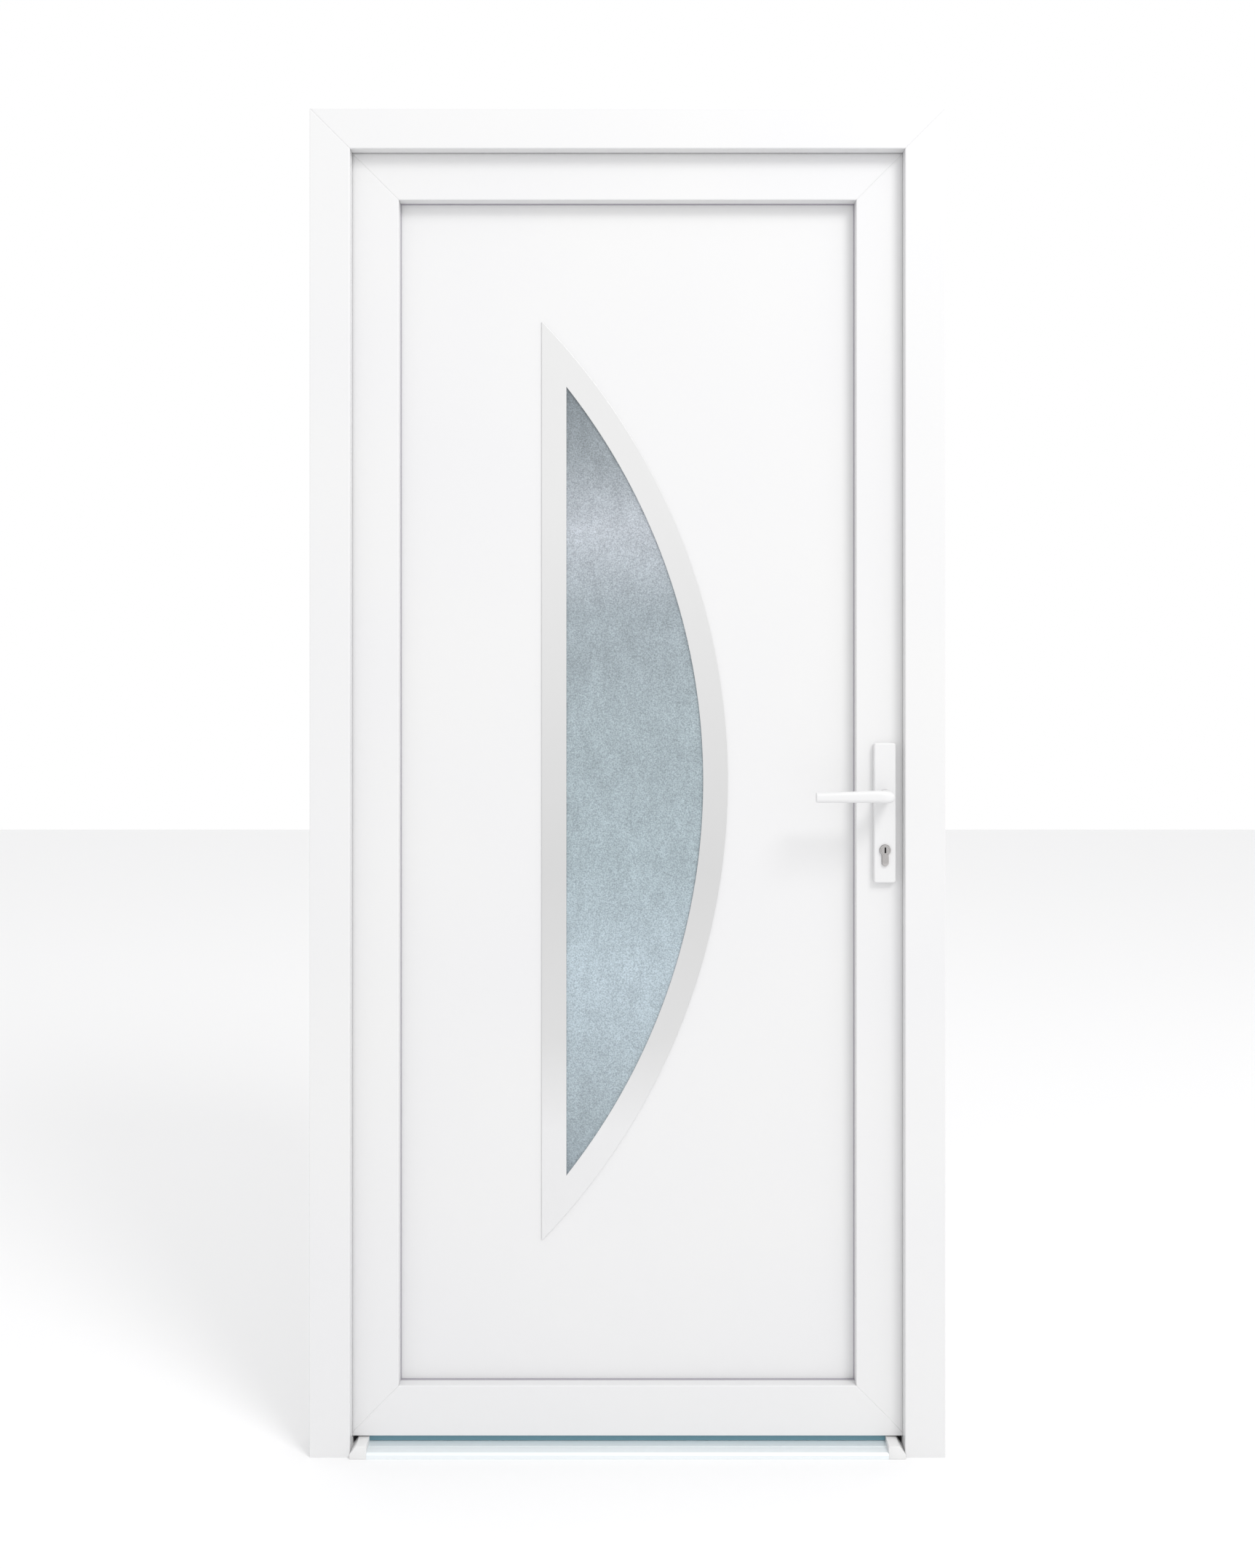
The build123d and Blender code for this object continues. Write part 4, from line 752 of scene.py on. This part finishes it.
def lever_arm(name, root_y, arm_y):
    """Lever swept along an L: neck, a 90 degree bend of 13 mm radius, then the arm. The
    section is |a/w|^n + |b/h|^n = 1 with n from 2 in the neck to 2.7 in the arm, and the foot of
    the arm stays level while its height falls from 19.5 to 14.9 mm."""
    neck_x, tip_x, bend, tip = SPINDLE["x"], 286, 13.0, 1.2
    root_half, arm_half = 9, 7
    root_height, tip_height, foot_z = 19.5, 14.9, 1012.4
    outwards = np.sign(arm_y - root_y)
    neck = abs(arm_y - root_y) - bend
    reach = neck_x - tip_x - bend
    arc = bend * math.pi / 2
    total = neck + arc + reach
    s = np.concatenate([
        np.linspace(0, neck, 8)[:-1],
        np.linspace(neck, neck + arc, 20)[:-1],
        np.linspace(neck + arc, total - tip, 24)[:-1],
        total - tip * (1 - np.sin(np.linspace(0, math.pi / 2, 8))),
    ])
    angle = np.clip((s - neck) / bend, 0, math.pi / 2)
    past = np.maximum(s - neck - arc, 0)
    x = neck_x - bend * (1 - np.cos(angle)) - past
    y = root_y + outwards * (np.minimum(s, neck) + bend * np.sin(angle))
    into_arm = np.clip((s - neck) / (arc + 12), 0, 1)
    into_arm = into_arm**2 * (3 - 2 * into_arm)
    along = np.clip((s - neck) / (total - neck), 0, 1)
    thinner = np.clip((s - neck) / arc, 0, 1)
    half_width = root_half + (arm_half - root_half) * thinner**2 * (3 - 2 * thinner)
    arm_height = root_height + (tip_height - root_height) * along
    half_height = root_half + (arm_height / 2 - root_half) * into_arm
    root_z = SPINDLE["handle_z"]
    middle_z = root_z + (foot_z + arm_height / 2 - root_z) * into_arm
    exponent = 2 + 0.7 * into_arm
    end = np.clip((s - (total - tip)) / tip, 0, 1)
    shrink = 1 - 0.14 * (1 - np.sqrt(np.clip(1 - end**2, 0, 1)))
    t = np.linspace(0, 2 * math.pi, 56, endpoint=False)
    cos, sin = np.cos(t), np.sin(t)
    power = (2 / exponent)[:, None]
    across = np.sign(cos) * np.abs(cos) ** power * (half_width * shrink)[:, None]
    up = np.sign(sin) * np.abs(sin) ** power * (half_height * shrink)[:, None]
    side_x, side_y = np.cos(angle)[:, None], outwards * np.sin(angle)[:, None]
    return skin(name, np.stack(
        [x[:, None] + across * side_x, y[:, None] + across * side_y, middle_z[:, None] + up],
        axis=-1,
    ))


x, handle_z, cylinder_z, foot_z = SPINDLE["x"], SPINDLE["handle_z"], SPINDLE["cylinder_z"], 915.5
holes = [
    ((x, -80, handle_z), (x, 120, handle_z), 9.2),
    ((x, -80, cylinder_z), (x, 120, cylinder_z), 8.8),
    ((x - 5.3, -80, foot_z), (x + 5.3, 120, cylinder_z)),
    ((x, -80, foot_z), (x, 120, foot_z), 5.3),
]
for node, near_y, far_y in (("outer_backplate", -14, -24), ("inner_backplate", 56, 66)):
    plate = back_plate(f"{node}_cover", near_y, far_y)
    bolts = [((x, 60, z), (x, 70, z), 4.6) for z in SPINDLE["bolt_z"]] if near_y > 0 else []
    cut_away(plate, holes + bolts)
    finish_piece(plate, coat, "leaf", "white_coated_metal", node)
for node, root_y, arm_y in (("outer_lever", -14, -69), ("inner_lever", 56, 111)):
    lever = lever_arm(f"{node}_handle", root_y, arm_y)
    finish_piece(lever, coat, "handle", "white_coated_metal", node)

# ---- Screws and bolts ----
# Zinc-plated screws in the hinges, faceplate and keeps, the cylinder's long screw and the
# two bolts through the handle plates.
screw_steel = bare_metal("screw steel", (0.7, 0.71, 0.72), 0.28, 300)
dress(["frame_screws", "leaf_screws", "handle_bolts"], screw_steel)

# ---- Studio ----
# Pale floor in a plain white surround, and one large soft light from the upper right in
# front, which leaves soft shadows to the lower left.
scene = bpy.context.scene
world = bpy.data.worlds.new("white room")
world.use_nodes = True
world.node_tree.nodes["Background"].inputs["Color"].default_value = (1, 1, 1, 1)
world.node_tree.nodes["Background"].inputs["Strength"].default_value = 1.0
scene.world = world
floor_mesh = bpy.data.meshes.new("studio_floor")
floor_mesh.from_pydata([(-9, -9, 0), (9, -9, 0), (9, 9, 0), (-9, 9, 0)], [], [(0, 1, 2, 3)])
floor = bpy.data.objects.new("studio_floor", floor_mesh)
scene.collection.objects.link(floor)
floor_pale, nodes, links, shader = new_material("studio floor", (0.88, 0.88, 0.885), 0.7)
shader.inputs["Specular IOR Level"].default_value = 0.1
add_bump(nodes, links, shader, noise(nodes, links, 40, 2.0), 0.0002, 0.2)
floor_mesh.materials.append(floor_pale)
lamp = bpy.data.lights.new("key", "AREA")
lamp.shape, lamp.size, lamp.energy = "DISK", 2.0, 112
lamp.color = (1.0, 0.995, 0.985)
key = bpy.data.objects.new("key", lamp)
scene.collection.objects.link(key)
key.location = (2.4, -3.2, 4.9)
key.rotation_euler = (Vector((0, 0, 1.0)) - key.location).to_track_quat("-Z", "Y").to_euler()
lens = bpy.data.cameras.new("camera")
lens.lens, lens.sensor_width, lens.shift_y = 31.28, 36, -0.064
camera = bpy.data.objects.new("camera", lens)
scene.collection.objects.link(camera)
camera.location = (0, -2.135, 1.193)
camera.rotation_euler = (math.pi / 2, 0, 0)
scene.camera = camera
scene.view_settings.view_transform = "Standard"
